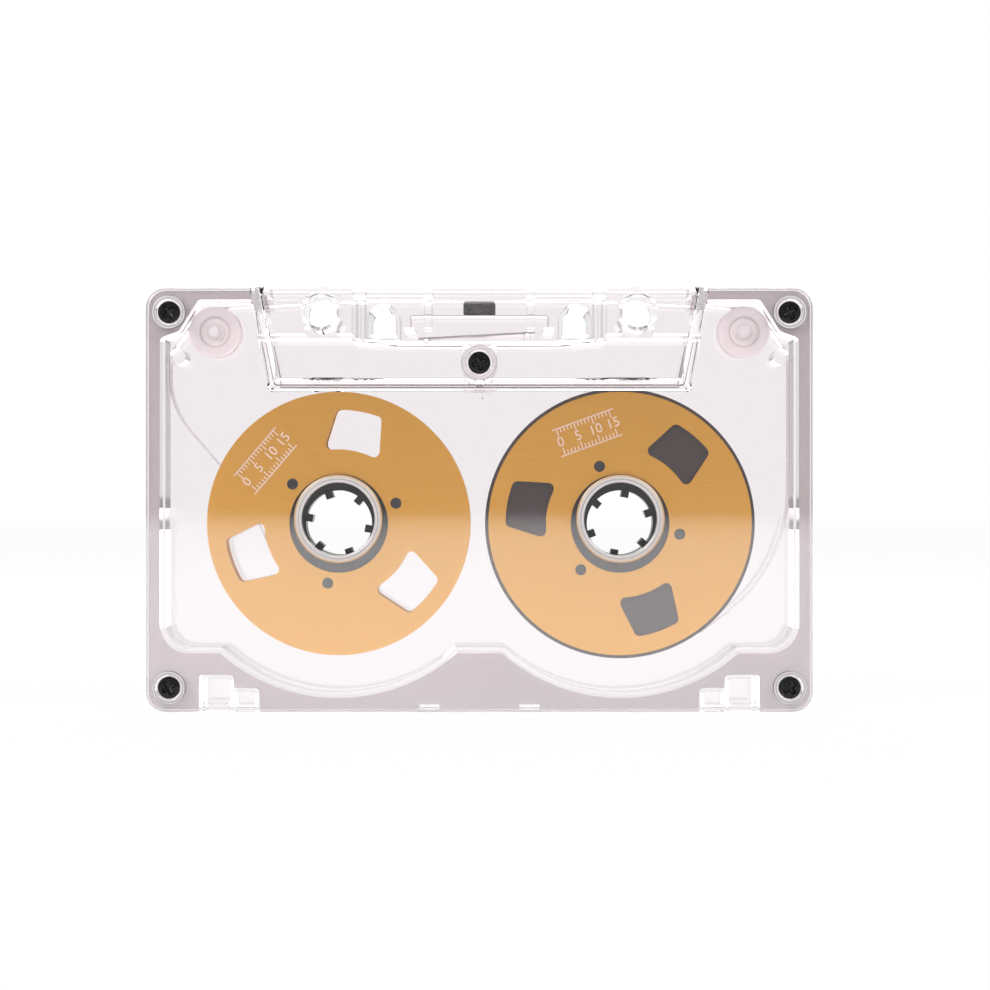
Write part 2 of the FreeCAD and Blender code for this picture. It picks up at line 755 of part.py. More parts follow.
def leader_circles():
    """Circles that the leader is led round, from the left hub to the right pack.

    Each is (x, z, radius, turn), where turn is -1 if the circle lies on the right of the tape's way.
    """
    clear = leader_gap + leader_sheet / 2
    side_x = post_x + post_radius + clear
    hub_reach = hub_radius + clear
    hub_slack_radius = flange_radius * hub_slack_share
    left_slack_radius = flange_radius * left_slack_share
    right_slack_radius = flange_radius * right_slack_share
    slack_x, slack_z = polar(-hub_x, reel_z, hub_reach + hub_slack_radius + hub_slack_gap, hub_slack_angle)
    right_slack_z = reel_z + flange_radius * right_slack_height
    left_slack_x = left_slack_radius - side_x
    between = math.hypot(hub_slack_radius + left_slack_radius, flange_radius * left_slack_run)
    left_slack_z = slack_z + math.sqrt(between ** 2 - (left_slack_x - slack_x) ** 2)
    guide_x = (guide_rib_inner + guide_rib_outer) / 2
    guide_radius = (guide_rib_outer - guide_rib_inner) / 2
    guide_z = guide_rib_top + clear + 2 * leader_gap - guide_radius
    return [
        (-hub_x, reel_z, hub_reach, -1),
        (slack_x, slack_z, hub_slack_radius, 1),
        (left_slack_x, left_slack_z, left_slack_radius, -1),
        (-post_x, post_z, post_radius + clear, -1),
        (-roller_x, roller_z, roller_body_radius + clear, -1),
        (-guide_x, guide_z, guide_radius, -1),
        (guide_x, guide_z, guide_radius, -1),
        (roller_x, roller_z, roller_body_radius + clear, -1),
        (post_x, post_z, post_radius + clear, -1),
        (side_x - right_slack_radius, right_slack_z, right_slack_radius, -1),
        (hub_x, reel_z, pack_radius + clear, -1),
    ]


def tangent(first, second):
    """Points where the straight run leaves the first circle and meets the second."""
    x1, z1, r1, turn1 = first
    x2, z2, r2, turn2 = second
    across = turn1 * r1 - turn2 * r2
    distance = math.hypot(x2 - x1, z2 - z1)
    heading = math.atan2(z2 - z1, x2 - x1) - math.asin(-across / distance)
    left = (-math.sin(heading), math.cos(heading))
    start = (x1 - turn1 * r1 * left[0], z1 - turn1 * r1 * left[1])
    end = (x2 - turn2 * r2 * left[0], z2 - turn2 * r2 * left[1])
    return start, end


def leader_edges(offset, y):
    """Edges of the tape's way, moved sideways by offset, in order from left to right."""
    circles = [(x, z, radius - turn * offset, turn) for x, z, radius, turn in leader_circles()]
    runs = [tangent(circles[i], circles[i + 1]) for i in range(len(circles) - 1)]
    edges = []
    for index, (start, end) in enumerate(runs):
        edges.append(Part.LineSegment(Vector(start[0], y, start[1]), Vector(end[0], y, end[1])).toShape())
        if index + 1 < len(runs):
            following = runs[index + 1][0]
            x, z, radius, _ = circles[index + 1]
            centre = Vector(x, y, z)
            before = Vector(end[0], y, end[1])
            after = Vector(following[0], y, following[1])
            if (after - before).Length > overlap / 10:
                chord_middle = (before + after) / 2
                outward = (chord_middle - centre).normalize()
                edges.append(Part.Arc(before, centre + outward * radius, after).toShape())
    return edges


def leader_tape():
    """Clear leader on edge along its whole way, standing the tape's width."""
    low = -tape_width / 2
    one_side = leader_edges(leader_sheet / 2, low)
    other_side = leader_edges(-leader_sheet / 2, low)
    start_cap = Part.LineSegment(one_side[0].Vertexes[0].Point, other_side[0].Vertexes[0].Point).toShape()
    end_cap = Part.LineSegment(one_side[-1].Vertexes[-1].Point, other_side[-1].Vertexes[-1].Point).toShape()
    loop = Part.Wire(Part.__sortEdges__(one_side + other_side + [start_cap, end_cap]))
    return Part.Face(loop).extrude(Vector(0, tape_width, 0))


def make_pieces():
    """Every piece by name."""
    half = half_shell()
    screws = [screw(x, z, outer_y) for x, z, outer_y in screw_places()]
    pieces = {
        "front_shell": front_shell(half),
        "rear_shell": rear_shell(half),
        "surround_frame": surround_frame(),
        "tape_pack": tape_pack(),
        "leader_tape": leader_tape(),
        "pressure_pad": pressure_pad(),
        "pad_spring": pad_spring(),
        "shield_plate": shield_plate(),
        "corner_screws": Part.makeCompound(screws[:-1]),
        "centre_screw": screws[-1],
    }
    for name, side, angle in (("left", -1, left_reel_angle), ("right", 1, right_reel_angle)):
        pieces[name + "_hub"] = hub(side, angle)
        pieces[name + "_tape_clamp"] = clamp_sector(side, angle, 0)
        pieces[name + "_front_flange"] = flange(side, angle, -flange_inner_y, -flange_outer_y)
        pieces[name + "_rear_flange"] = flange(side, angle, flange_inner_y, flange_outer_y)
        pieces[name + "_guide_roller"] = guide_roller(side)
        pieces[name + "_roller_pin"] = roller_pin(side)
    return pieces


os.makedirs("parts", exist_ok=True)
for name, shape in make_pieces().items():
    shape.exportStep("parts/" + name + ".step")
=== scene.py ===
"""Audio cassette with a clear shell and two gold open reels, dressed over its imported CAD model.

X is the cassette's long side, Y its thickness with the front towards -Y, and Z is up, all in metres.
"""

import bpy
import numpy as np
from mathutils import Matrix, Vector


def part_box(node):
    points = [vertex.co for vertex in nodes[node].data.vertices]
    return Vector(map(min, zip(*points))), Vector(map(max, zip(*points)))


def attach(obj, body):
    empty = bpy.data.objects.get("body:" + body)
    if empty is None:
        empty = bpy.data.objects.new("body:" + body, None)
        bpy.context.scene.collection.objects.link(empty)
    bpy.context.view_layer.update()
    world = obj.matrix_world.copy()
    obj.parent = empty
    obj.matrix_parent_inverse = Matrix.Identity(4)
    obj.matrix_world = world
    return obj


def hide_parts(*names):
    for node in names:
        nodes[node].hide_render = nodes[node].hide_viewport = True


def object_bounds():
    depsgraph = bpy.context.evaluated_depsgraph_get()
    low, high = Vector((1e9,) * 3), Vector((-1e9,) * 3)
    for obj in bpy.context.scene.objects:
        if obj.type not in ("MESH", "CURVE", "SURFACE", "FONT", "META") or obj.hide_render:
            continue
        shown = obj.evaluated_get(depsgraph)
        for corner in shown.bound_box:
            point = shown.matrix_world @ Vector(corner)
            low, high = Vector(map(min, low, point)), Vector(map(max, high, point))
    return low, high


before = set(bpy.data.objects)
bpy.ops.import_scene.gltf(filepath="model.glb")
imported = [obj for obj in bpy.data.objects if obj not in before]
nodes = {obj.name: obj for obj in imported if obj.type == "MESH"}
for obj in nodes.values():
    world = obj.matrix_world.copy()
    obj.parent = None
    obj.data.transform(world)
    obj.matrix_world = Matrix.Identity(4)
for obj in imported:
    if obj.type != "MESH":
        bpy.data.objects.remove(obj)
cad_low, cad_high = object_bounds()

# Shell halves. Each is one injection moulding of clear polystyrene, with its half of the raised block,
# its ribs, bosses and hub collars. The mould steel was polished, so the faces are glassy, and the
# plastic has a faint pink cast that shows where it is seen through its thickness.
polystyrene_ior = 1.59
polystyrene_roughness = 0.02
polystyrene_tint = "#FEFBFC"
shadow_tint = "#F8F4F5"
flow_length = 0.014
flow_bump = 0.02
flow_depth = 0.0002


def linear(hex_colour):
    """Linear red, green, blue and 1 from sRGB hex: c/12.92 up to 0.04045, then ((c + 0.055)/1.055)^2.4."""
    code = np.array([int(hex_colour[i:i + 2], 16) for i in (1, 3, 5)]) / 255
    curved = ((code + 0.055) / 1.055) ** 2.4
    return (*np.where(code <= 0.04045, code / 12.92, curved), 1.0)


def add_node(material, kind, settings=None, values=None, links=None):
    """Adds one shader node with its settings, its sockets' values and the outputs linked to it."""
    node = material.node_tree.nodes.new(kind)
    for name, value in (settings or {}).items():
        setattr(node, name, value)
    for name, value in (values or {}).items():
        node.inputs[name].default_value = value
    for name, output in (links or {}).items():
        material.node_tree.links.new(output, node.inputs[name])
    return node


def start_material(name):
    """An empty node material, with Object coordinates and the output node to link to."""
    material = bpy.data.materials.new(name)
    material.use_nodes = True
    material.node_tree.nodes.clear()
    place = add_node(material, "ShaderNodeTexCoord").outputs["Object"]
    return material, place


def clear_to_lamps(material, body, shade):
    """Ends a material that looks like its body shader, and lets the lamps' light through unbent."""
    unbent = add_node(material, "ShaderNodeBsdfTransparent", values={"Color": linear(shade)})
    ray = add_node(material, "ShaderNodeLightPath")
    both = add_node(material, "ShaderNodeMixShader", links={0: ray.outputs["Is Shadow Ray"],
                                                            1: body.outputs["BSDF"],
                                                            2: unbent.outputs["BSDF"]})
    add_node(material, "ShaderNodeOutputMaterial", links={"Surface": both.outputs["Shader"]})


def moulded_clear(name, tint, shade, ior, roughness, wave_length, wave):
    """Clear moulded plastic. Refracts what the eye sees, and lets the lamps' light through unbent."""
    material, place = start_material(name)
    flow = add_node(material, "ShaderNodeTexNoise", values={"Scale": 1 / wave_length, "Detail": 1.0},
                    links={"Vector": place})
    dent = add_node(material, "ShaderNodeBump", values={"Strength": wave, "Distance": flow_depth},
                    links={"Height": flow.outputs["Fac"]})
    body = add_node(material, "ShaderNodeBsdfPrincipled",
                    values={"Base Color": linear(tint), "Transmission Weight": 1.0, "IOR": ior,
                            "Roughness": roughness},
                    links={"Normal": dent.outputs["Normal"]})
    clear_to_lamps(material, body, shade)
    return material


def finish_node(name, material):
    """Gives a CAD node its material."""
    nodes[name].data.materials.clear()
    nodes[name].data.materials.append(material)


clear_polystyrene = moulded_clear("clear_polystyrene", polystyrene_tint, shadow_tint, polystyrene_ior,
                                  polystyrene_roughness, flow_length, flow_bump)
finish_node("front_shell", clear_polystyrene)
finish_node("rear_shell", clear_polystyrene)

# Surround. A ring moulded in ABS with aluminium flake in it, so it is silver grey all through. Its
# fine spark-eroded mould texture leaves a satin surface with small bright and dark grains.
surround_silver = "#B9B3B4"
surround_dark_grain = "#A8A1A3"
flake_size = 0.00035
erosion_grain = 0.00012
erosion_depth = 0.00002


def flaked_abs(name, colour, grain_colour):
    """ABS with metal flake. The flakes change its colour a little, the mould's grain its surface."""
    material, place = start_material(name)
    flake = add_node(material, "ShaderNodeTexNoise", values={"Scale": 1 / flake_size, "Detail": 3.0},
                     links={"Vector": place})
    mixed = add_node(material, "ShaderNodeMix", settings={"data_type": "RGBA"},
                     values={6: linear(colour), 7: linear(grain_colour)},
                     links={0: flake.outputs["Fac"]})
    erosion = add_node(material, "ShaderNodeTexNoise", values={"Scale": 1 / erosion_grain, "Detail": 2.0},
                       links={"Vector": place})
    grain = add_node(material, "ShaderNodeBump", values={"Strength": 0.25, "Distance": erosion_depth},
                     links={"Height": erosion.outputs["Fac"]})
    body = add_node(material, "ShaderNodeBsdfPrincipled", values={"Metallic": 0.25, "Roughness": 0.48},
                    links={"Base Color": mixed.outputs[2], "Normal": grain.outputs["Normal"]})
    add_node(material, "ShaderNodeOutputMaterial", links={"Surface": body.outputs["BSDF"]})
    return material


finish_node("surround_frame", flaked_abs("flaked_abs", surround_silver, surround_dark_grain))

# Guide rollers. Small flanged wheels moulded in milky acetal, free on their pins. Light goes a little
# way into them, so they look pinkish grey, and the steps moulded in their ends are shown by fine rings of
# painted shade.
# Painted shade rings at the moulded steps, light and dark by radius from the axis.
acetal_painted_shade_rings = [
    (0.0, "#FFFFFF"),
    (0.00095, "#FFFDFD"),
    (0.00115, "#DFD7D8"),
    (0.00135, "#FFFCFC"),
    (0.0020, "#FEFAFA"),
    (0.0022, "#C9C0C2"),
    (0.0024, "#F8F3F4"),
    (0.0034, "#F5F0F1"),
    (0.0038, "#F9F5F5"),
]
acetal_ior = 1.48
roller_x = 0.04
roller_z = 0.0573
roller_ring_reach = 0.004
acetal_cloud = 0.002


def milky_acetal(name, x, z):
    """Translucent acetal with rings of painted shade by the distance from the roller's axis through (x, z).
    """
    material, place = start_material(name)
    centred = add_node(material, "ShaderNodeMapping", values={"Location": (-x, 0, -z)},
                       links={"Vector": place})
    flat = add_node(material, "ShaderNodeVectorMath", settings={"operation": "MULTIPLY"},
                    values={1: (1.0, 0.0, 1.0)}, links={0: centred.outputs["Vector"]})
    length = add_node(material, "ShaderNodeVectorMath", settings={"operation": "LENGTH"},
                      links={0: flat.outputs["Vector"]})
    share = add_node(material, "ShaderNodeMapRange", values={"From Max": roller_ring_reach},
                     links={"Value": length.outputs["Value"]})
    rings = add_node(material, "ShaderNodeValToRGB", links={"Fac": share.outputs["Result"]})
    stops = rings.color_ramp.elements
    stops[0].color = linear(acetal_painted_shade_rings[0][1])
    stops[1].position = acetal_painted_shade_rings[-1][0] / roller_ring_reach
    stops[1].color = linear(acetal_painted_shade_rings[-1][1])
    for radius, tone in acetal_painted_shade_rings[1:-1]:
        stops.new(radius / roller_ring_reach).color = linear(tone)
    cloud = add_node(material, "ShaderNodeTexNoise", values={"Scale": 1 / acetal_cloud, "Detail": 2.0},
                     links={"Vector": place})
    rough = add_node(material, "ShaderNodeMapRange", values={"To Min": 0.26, "To Max": 0.34},
                     links={"Value": cloud.outputs["Fac"]})
    body = add_node(material, "ShaderNodeBsdfPrincipled",
                    values={"Transmission Weight": 0.55, "IOR": acetal_ior},
                    links={"Base Color": rings.outputs["Color"], "Roughness": rough.outputs["Result"]})
    clear_to_lamps(material, body, shadow_tint)
    return material


finish_node("left_guide_roller", milky_acetal("left_milky_acetal", -roller_x, roller_z))
finish_node("right_guide_roller", milky_acetal("right_milky_acetal", roller_x, roller_z))

# Roller pins. Drawn steel wire cut to length and ground, so the fine marks run round it.
pin_steel = "#F6F3F3"
marks_round = 200.0
marks_along = 9000.0
mark_depth = 0.00001


def ground_steel(name, colour):
    """Ground steel wire, with fine rings round its axis, which is along Y."""
    material, place = start_material(name)
    squeezed = add_node(material, "ShaderNodeMapping",
                        values={"Scale": (marks_round, marks_along, marks_round)},
                        links={"Vector": place})
    marks = add_node(material, "ShaderNodeTexNoise", values={"Scale": 1.0, "Detail": 2.0},
                     links={"Vector": squeezed.outputs["Vector"]})
    dent = add_node(material, "ShaderNodeBump", values={"Strength": 0.2, "Distance": mark_depth},
                    links={"Height": marks.outputs["Fac"]})
    body = add_node(material, "ShaderNodeBsdfPrincipled",
                    values={"Base Color": linear(colour), "Metallic": 1.0, "Roughness": 0.3},
                    links={"Normal": dent.outputs["Normal"]})
    add_node(material, "ShaderNodeOutputMaterial", links={"Surface": body.outputs["BSDF"]})
    return material


pin_material = ground_steel("ground_steel_pin", pin_steel)
finish_node("left_roller_pin", pin_material)
finish_node("right_roller_pin", pin_material)

# Hubs and tape clamps. Moulded in black acetal with six drive teeth. The mould was lightly bead
# blasted, which leaves a satin black with an even fine grain.
hub_black = "#131315"
hub_black_worn = "#1C1C1E"
gloss_patch = 0.003
blast_grain = 0.00015
blast_depth = 0.00002


def blasted_black(name):
    """Satin black acetal. Large soft patches change its gloss, and a fine grain its surface."""
    material, place = start_material(name)
    patches = add_node(material, "ShaderNodeTexNoise", values={"Scale": 1 / gloss_patch, "Detail": 3.0},
                       links={"Vector": place})
    colour = add_node(material, "ShaderNodeMix", settings={"data_type": "RGBA"},
                      values={6: linear(hub_black), 7: linear(hub_black_worn)},
                      links={0: patches.outputs["Fac"]})
    rough = add_node(material, "ShaderNodeMapRange", values={"To Min": 0.34, "To Max": 0.46},
                     links={"Value": patches.outputs["Fac"]})
    blast = add_node(material, "ShaderNodeTexNoise", values={"Scale": 1 / blast_grain, "Detail": 2.0},
                     links={"Vector": place})
    grain = add_node(material, "ShaderNodeBump", values={"Strength": 0.2, "Distance": blast_depth},
                     links={"Height": blast.outputs["Fac"]})
    body = add_node(material, "ShaderNodeBsdfPrincipled",
                    links={"Base Color": colour.outputs[2], "Roughness": rough.outputs["Result"],
                           "Normal": grain.outputs["Normal"]})
    add_node(material, "ShaderNodeOutputMaterial", links={"Surface": body.outputs["BSDF"]})
    return material


black_acetal = blasted_black("blasted_black_acetal")
for side in ("left", "right"):
    finish_node(side + "_hub", black_acetal)
    finish_node(side + "_tape_clamp", black_acetal)

# Reel flanges. Discs punched from aluminium sheet, brushed in one direction and anodised gold. The
# brushing runs along the cassette, so it draws fine level lines, and the punched edges stay bright.
anodised_gold = "#CB9C4E"
anodised_gold_deep = "#BF8D3F"
brush_spacing = 0.00018
brush_length = 0.02
brush_depth = 0.00001


def brushed_anodised(name):
    """Anodised aluminium brushed along X: noise drawn out along X changes colour, gloss and surface."""
    material, place = start_material(name)
    drawn = add_node(material, "ShaderNodeMapping",
                     values={"Scale": (1 / brush_length, 1 / brush_spacing, 1 / brush_spacing)},
                     links={"Vector": place})
    lines = add_node(material, "ShaderNodeTexNoise", values={"Scale": 1.0, "Detail": 4.0, "Roughness": 0.6},
                     links={"Vector": drawn.outputs["Vector"]})
    colour = add_node(material, "ShaderNodeMix", settings={"data_type": "RGBA"},
                      values={6: linear(anodised_gold), 7: linear(anodised_gold_deep)},
                      links={0: lines.outputs["Fac"]})
    rough = add_node(material, "ShaderNodeMapRange", values={"To Min": 0.26, "To Max": 0.4},
                     links={"Value": lines.outputs["Fac"]})
    scratch = add_node(material, "ShaderNodeBump", values={"Strength": 0.12, "Distance": brush_depth},
                       links={"Height": lines.outputs["Fac"]})
    body = add_node(material, "ShaderNodeBsdfPrincipled", values={"Metallic": 1.0},
                    links={"Base Color": colour.outputs[2], "Roughness": rough.outputs["Result"],
                           "Normal": scratch.outputs["Normal"]})
    add_node(material, "ShaderNodeOutputMaterial", links={"Surface": body.outputs["BSDF"]})
    return material


gold = brushed_anodised("brushed_gold_anodised")
for flange in ("left_front", "left_rear", "right_front", "right_rear"):
    finish_node(flange + "_flange", gold)

# Flange scales. Each front flange carries a small scale with plain numbers, pad printed in pale ink that
# lies a few thousandths of a millimetre thick on the gold, its top towards the rim.
ink_pale = "#EFDDD8"
ink_thin = "#DCC3B2"
ink_height = 0.000008
ink_patch = 0.0004
scale_length = 0.0084
scale_long_tick = 0.0012
scale_short_tick = 0.0007
scale_line = 0.00016
scale_numbers = ["0", "5", "10", "15"]
scale_number_size = 0.0021
scale_radius = 0.0146
scale_row_gap = 0.0021
ticks_between = 5


def printed_ink(name):
    """Thin pale ink, a little uneven in how well it covers."""
    material, place = start_material(name)
    cover = add_node(material, "ShaderNodeTexNoise", values={"Scale": 1 / ink_patch, "Detail": 3.0},
                     links={"Vector": place})
    colour = add_node(material, "ShaderNodeMix", settings={"data_type": "RGBA"},
                      values={6: linear(ink_pale), 7: linear(ink_thin)}, links={0: cover.outputs["Fac"]})
    body = add_node(material, "ShaderNodeBsdfPrincipled", values={"Roughness": 0.5},
                    links={"Base Color": colour.outputs[2]})
    add_node(material, "ShaderNodeOutputMaterial", links={"Surface": body.outputs["BSDF"]})
    return material


def mesh_piece(name, points, faces, material, body):
    """A new piece from its points and faces, smooth, riding on a CAD body."""
    mesh = bpy.data.meshes.new(name)
    mesh.from_pydata(points.tolist(), [], faces)
    mesh.polygons.foreach_set("use_smooth", np.ones(len(mesh.polygons), bool))
    mesh.materials.append(material)
    piece = bpy.data.objects.new(name, mesh)
    bpy.context.scene.collection.objects.link(piece)
    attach(piece, body)
    return piece


def flat_bars(middles, widths, heights, thickness):
    """Points and faces of flat bars, one box each.

    Corner (i, j, k) of a bar is its middle plus (i/2 of its width, j/2 of its height) with i and j -1 or
    1, at thickness times k, with k 0 or 1.
    """
    signs = np.array([(-1, -1, 0), (1, -1, 0), (1, 1, 0), (-1, 1, 0),
                      (-1, -1, 1), (1, -1, 1), (1, 1, 1), (-1, 1, 1)])
    sizes = np.stack([widths / 2, heights / 2, 0 * widths + thickness], -1)
    flat = np.concatenate([middles, 0 * middles[:, :1]], -1)
    points = flat[:, None, :] + signs[None, :, :] * sizes[:, None, :]
    sides = np.array([(0, 3, 2, 1), (4, 5, 6, 7), (0, 1, 5, 4), (1, 2, 6, 5), (2, 3, 7, 6), (3, 0, 4, 7)])
    faces = sides[None, :, :] + 8 * np.arange(len(middles))[:, None, None]
    return points.reshape(-1, 3), faces.reshape(-1, 4).tolist()


def plain_number(word, size, thickness):
    """Points and faces of one number, centred on the origin and as thick as the ink."""
    letters = bpy.data.curves.new("number_" + word, "FONT")
    letters.body = word
    letters.size = size
    letters.align_x = "CENTER"
    letters.align_y = "CENTER"
    letters.extrude = thickness / 2
    letters.resolution_u = 4
    holder = bpy.data.objects.new("number_" + word, letters)
    mesh = bpy.data.meshes.new_from_object(holder)
    points = np.empty(3 * len(mesh.vertices))
    mesh.vertices.foreach_get("co", points)
    faces = [list(polygon.vertices) for polygon in mesh.polygons]
    bpy.data.objects.remove(holder)
    bpy.data.meshes.remove(mesh)
    return points.reshape(-1, 3) + (0, 0, thickness / 2), faces


def flange_scale(name, body, centre_x, centre_z, face_y, place_angle, ink):
    """Two lines with ticks and a row of numbers between them.

    A point (a, b, c) of the flat scale goes to the reel's centre plus (radius + b) times the outward
    way at the place's angle, plus a times the way square to it, and c towards the front.
    """
    ticks = ticks_between * (len(scale_numbers) - 1) + 1
    along = np.linspace(-scale_length / 2, scale_length / 2, ticks)
    long_tick = np.arange(ticks) % ticks_between == 0
    heights = np.where(long_tick, scale_long_tick, scale_short_tick)
    thin = 0 * along + scale_line
    outer = np.stack([along, scale_row_gap - heights / 2], -1)
    inner = np.stack([along, -scale_row_gap + heights / 2], -1)
    lines = np.array([(0, scale_row_gap), (0, -scale_row_gap)])
    line_length = scale_length + 2 * scale_number_size / 3
    middles = np.concatenate([outer, inner, lines])
    widths = np.concatenate([thin, thin, [line_length] * 2])
    tall = np.concatenate([heights, heights, [scale_line] * 2])
    points, faces = flat_bars(middles, widths, tall, ink_height)
    for word, middle in zip(scale_numbers, along[long_tick]):
        number_points, number_faces = plain_number(word, scale_number_size, ink_height)
        faces += [[corner + len(points) for corner in face] for face in number_faces]
        points = np.concatenate([points, number_points + (middle, 0, 0)])
    sine, cosine = np.sin(place_angle), np.cos(place_angle)
    out = scale_radius + points[:, 1]
    placed = np.stack([centre_x + out * cosine + points[:, 0] * sine, face_y - points[:, 2],
                       centre_z + out * sine - points[:, 0] * cosine], -1)
    piece = mesh_piece(name, placed, faces, ink, body)
    piece.data.polygons.foreach_set("use_smooth", np.zeros(len(piece.data.polygons), bool))


reel_centre_x = 0.02125
reel_centre_z = 0.02835
ink = printed_ink("pale_printed_ink")
for side, centre_x, degrees in (("left", -reel_centre_x, 139.5), ("right", reel_centre_x, 110.0)):
    front_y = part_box(side + "_front_flange")[0].y
    flange_scale(side + "_flange_scale", side + "_reel", centre_x, reel_centre_z, front_y,
                 np.radians(degrees), ink)

# Hub hole rims. Round each hub hole the clear moulding ends in a rounded double bead. Its bright ring of
# thin bands
# with a warm outer edge is painted: painted reflections of the room and of the gold behind it, where its
# curves catch them.
rim_inner = 0.00548
rim_outer = 0.00668
rim_rise = 0.00012
rim_sunk = 0.00002
# Painted reflection bands, from the inner edge to the outer: pale room and a warm gold edge.
rim_painted_reflection_bands = ["#C9C2C4", "#E9E4E4", "#F4F0F0", "#B7AEAE", "#F3EEEB", "#EAD9C8", "#E4C39E", "#C08E5C"]
rim_rings = 48
rim_columns = 160
bead_roundness = 0.6
bead_dip = 0.3
hub_hole_share = 0.45533
rim_wear = 0.0015


def beaded_rim(name, material, centre_x, centre_z, face_y, way, inner, outer, rise, bands):
    """A low ring round an axis along Y, with its bands of painted reflection in the attribute
    rim_painted_reflection.

    At the share s of the way from the inner to the outer radius it stands proud of the face by sin(pi s)
    to the power roundness, times 1 minus the dip times cos(4 pi s), times the rise. Its flat back is
    sunk in the face.
    """
    share = np.linspace(0, 1, rim_rings)
    dome = np.abs(np.sin(np.pi * share)) ** bead_roundness
    proud = rise * dome * (1 - bead_dip * np.cos(4 * np.pi * share))
    radius = inner + (outer - inner) * share
    loop_radius = np.concatenate([radius, [outer, inner]])[:, None]
    loop_y = face_y + way * np.concatenate([proud, [-rim_sunk, -rim_sunk]])[:, None]
    angle = way * np.linspace(0, 2 * np.pi, rim_columns, endpoint=False)[None, :]
    points = np.stack([centre_x + loop_radius * np.cos(angle), loop_y + 0 * angle,
                       centre_z + loop_radius * np.sin(angle)], -1).reshape(-1, 3)
    row, column = np.meshgrid(np.arange(rim_rings + 2), np.arange(rim_columns), indexing="ij")
    near, far = row * rim_columns, (row + 1) % (rim_rings + 2) * rim_columns
    after = (column + 1) % rim_columns
    faces = np.stack([near + column, near + after, far + after, far + column], -1).reshape(-1, 4)
    piece = mesh_piece(name, points, faces.tolist(), material, "shell")
    tones = np.array([linear(tone) for tone in bands])
    steps = np.linspace(0, 1, len(bands))
    loop_share = np.concatenate([share, [1, 0]])
    tone = np.stack([np.interp(loop_share, steps, tones[:, part]) for part in range(4)], -1)
    # The painted reflection colours are laid on the ring's points, row by row.
    layer = piece.data.color_attributes.new("rim_painted_reflection", "FLOAT_COLOR", "POINT")
    layer.data.foreach_set("color", np.repeat(tone, rim_columns, axis=0).ravel())


def painted_reflection_plastic(name):
    """Clear plastic bead with bands of painted reflection: glossy and only partly see-through."""
    material, place = start_material(name)
    tone = add_node(material, "ShaderNodeVertexColor", settings={"layer_name": "rim_painted_reflection"})
    wear = add_node(material, "ShaderNodeTexNoise", values={"Scale": 1 / rim_wear, "Detail": 2.0},
                    links={"Vector": place})
    rough = add_node(material, "ShaderNodeMapRange", values={"To Min": 0.08, "To Max": 0.2},
                     links={"Value": wear.outputs["Fac"]})
    body = add_node(material, "ShaderNodeBsdfPrincipled",
                    values={"Transmission Weight": 0.25, "IOR": polystyrene_ior},
                    links={"Base Color": tone.outputs["Color"], "Roughness": rough.outputs["Result"]})
    add_node(material, "ShaderNodeOutputMaterial", links={"Surface": body.outputs["BSDF"]})
    return material


rim_painted_reflection_plastic = painted_reflection_plastic("painted_reflection_rim_plastic")
face_front = -0.00435
face_rear = 0.00435
hub_hole_z = (cad_high.z - cad_low.z) * hub_hole_share
for side, centre_x in (("left", -reel_centre_x), ("right", reel_centre_x)):
    for face_name, face_y, way in (("_front", face_front, -1), ("_rear", face_rear, 1)):
        beaded_rim(side + face_name + "_rim", rim_painted_reflection_plastic, centre_x, hub_hole_z, face_y, way, rim_inner,
                   rim_outer, rim_rise, rim_painted_reflection_bands)

# Wound tape. Some hundred turns of coated film, seen on edge. The coating is dark brown, and turns that
# stand a little
# proud catch the light: they are painted paler, a painted highlight, and bumped, drawn here coarser than
# the real 0.02 mm so they show.
tape_brown = "#2E2324"
# Paler brown for the painted highlight on proud turns.
tape_brown_painted_highlight = "#3A2E2E"
turn_spacing = 0.00022
rings_per_scale = 0.3183 / 2
turn_step = 0.00002


def wound_tape(name, x, z):
    """Edge of a tape pack: rings of painted highlight round an axis along Y through (x, z), uneven from
    turn to turn.
    """
    material, place = start_material(name)
    centred = add_node(material, "ShaderNodeMapping", settings={"vector_type": "POINT"},
                       values={"Location": (-x, 0, -z)}, links={"Vector": place})
    rings = add_node(material, "ShaderNodeTexWave",
                     settings={"wave_type": "RINGS", "rings_direction": "Y", "wave_profile": "SIN"},
                     values={"Scale": rings_per_scale / turn_spacing, "Distortion": 0.6, "Detail": 2.0,
                             "Detail Scale": 0.4},
                     links={"Vector": centred.outputs["Vector"]})
    colour = add_node(material, "ShaderNodeMix", settings={"data_type": "RGBA"},
                      values={6: linear(tape_brown), 7: linear(tape_brown_painted_highlight)},
                      links={0: rings.outputs["Fac"]})
    steps = add_node(material, "ShaderNodeBump", values={"Strength": 0.3, "Distance": turn_step},
                     links={"Height": rings.outputs["Fac"]})
    body = add_node(material, "ShaderNodeBsdfPrincipled", values={"Roughness": 0.32},
                    links={"Base Color": colour.outputs[2], "Normal": steps.outputs["Normal"]})
    add_node(material, "ShaderNodeOutputMaterial", links={"Surface": body.outputs["BSDF"]})
    return material


finish_node("tape_pack", wound_tape("wound_tape_edge", reel_centre_x, reel_centre_z))

# Leader. Uncoated clear polyester film, spliced to the tape. On edge it shows as a thin greyish line.
leader_tint = "#F3ECEE"
leader_material = moulded_clear("clear_leader_film", leader_tint, leader_tint, 1.5, 0.15, 0.002, 0.05)
finish_node("leader_tape", leader_material)

# Pressure pad and leaf spring. A block of pressed grey felt glued to a strip of rolled phosphor
# bronze, whose two bent legs sit on seats moulded in the shell.
felt_grey = "#39393A"
felt_fibre = "#747475"
felt_dark = "#171718"
# A paler grey that the top band of the pad goes to, by height.
felt_pale_top = "#A9A9A9"
felt_tuft = 0.0005
felt_depth = 0.00008
felt_pale_band = 0.0005
bronze = "#D6CDCB"


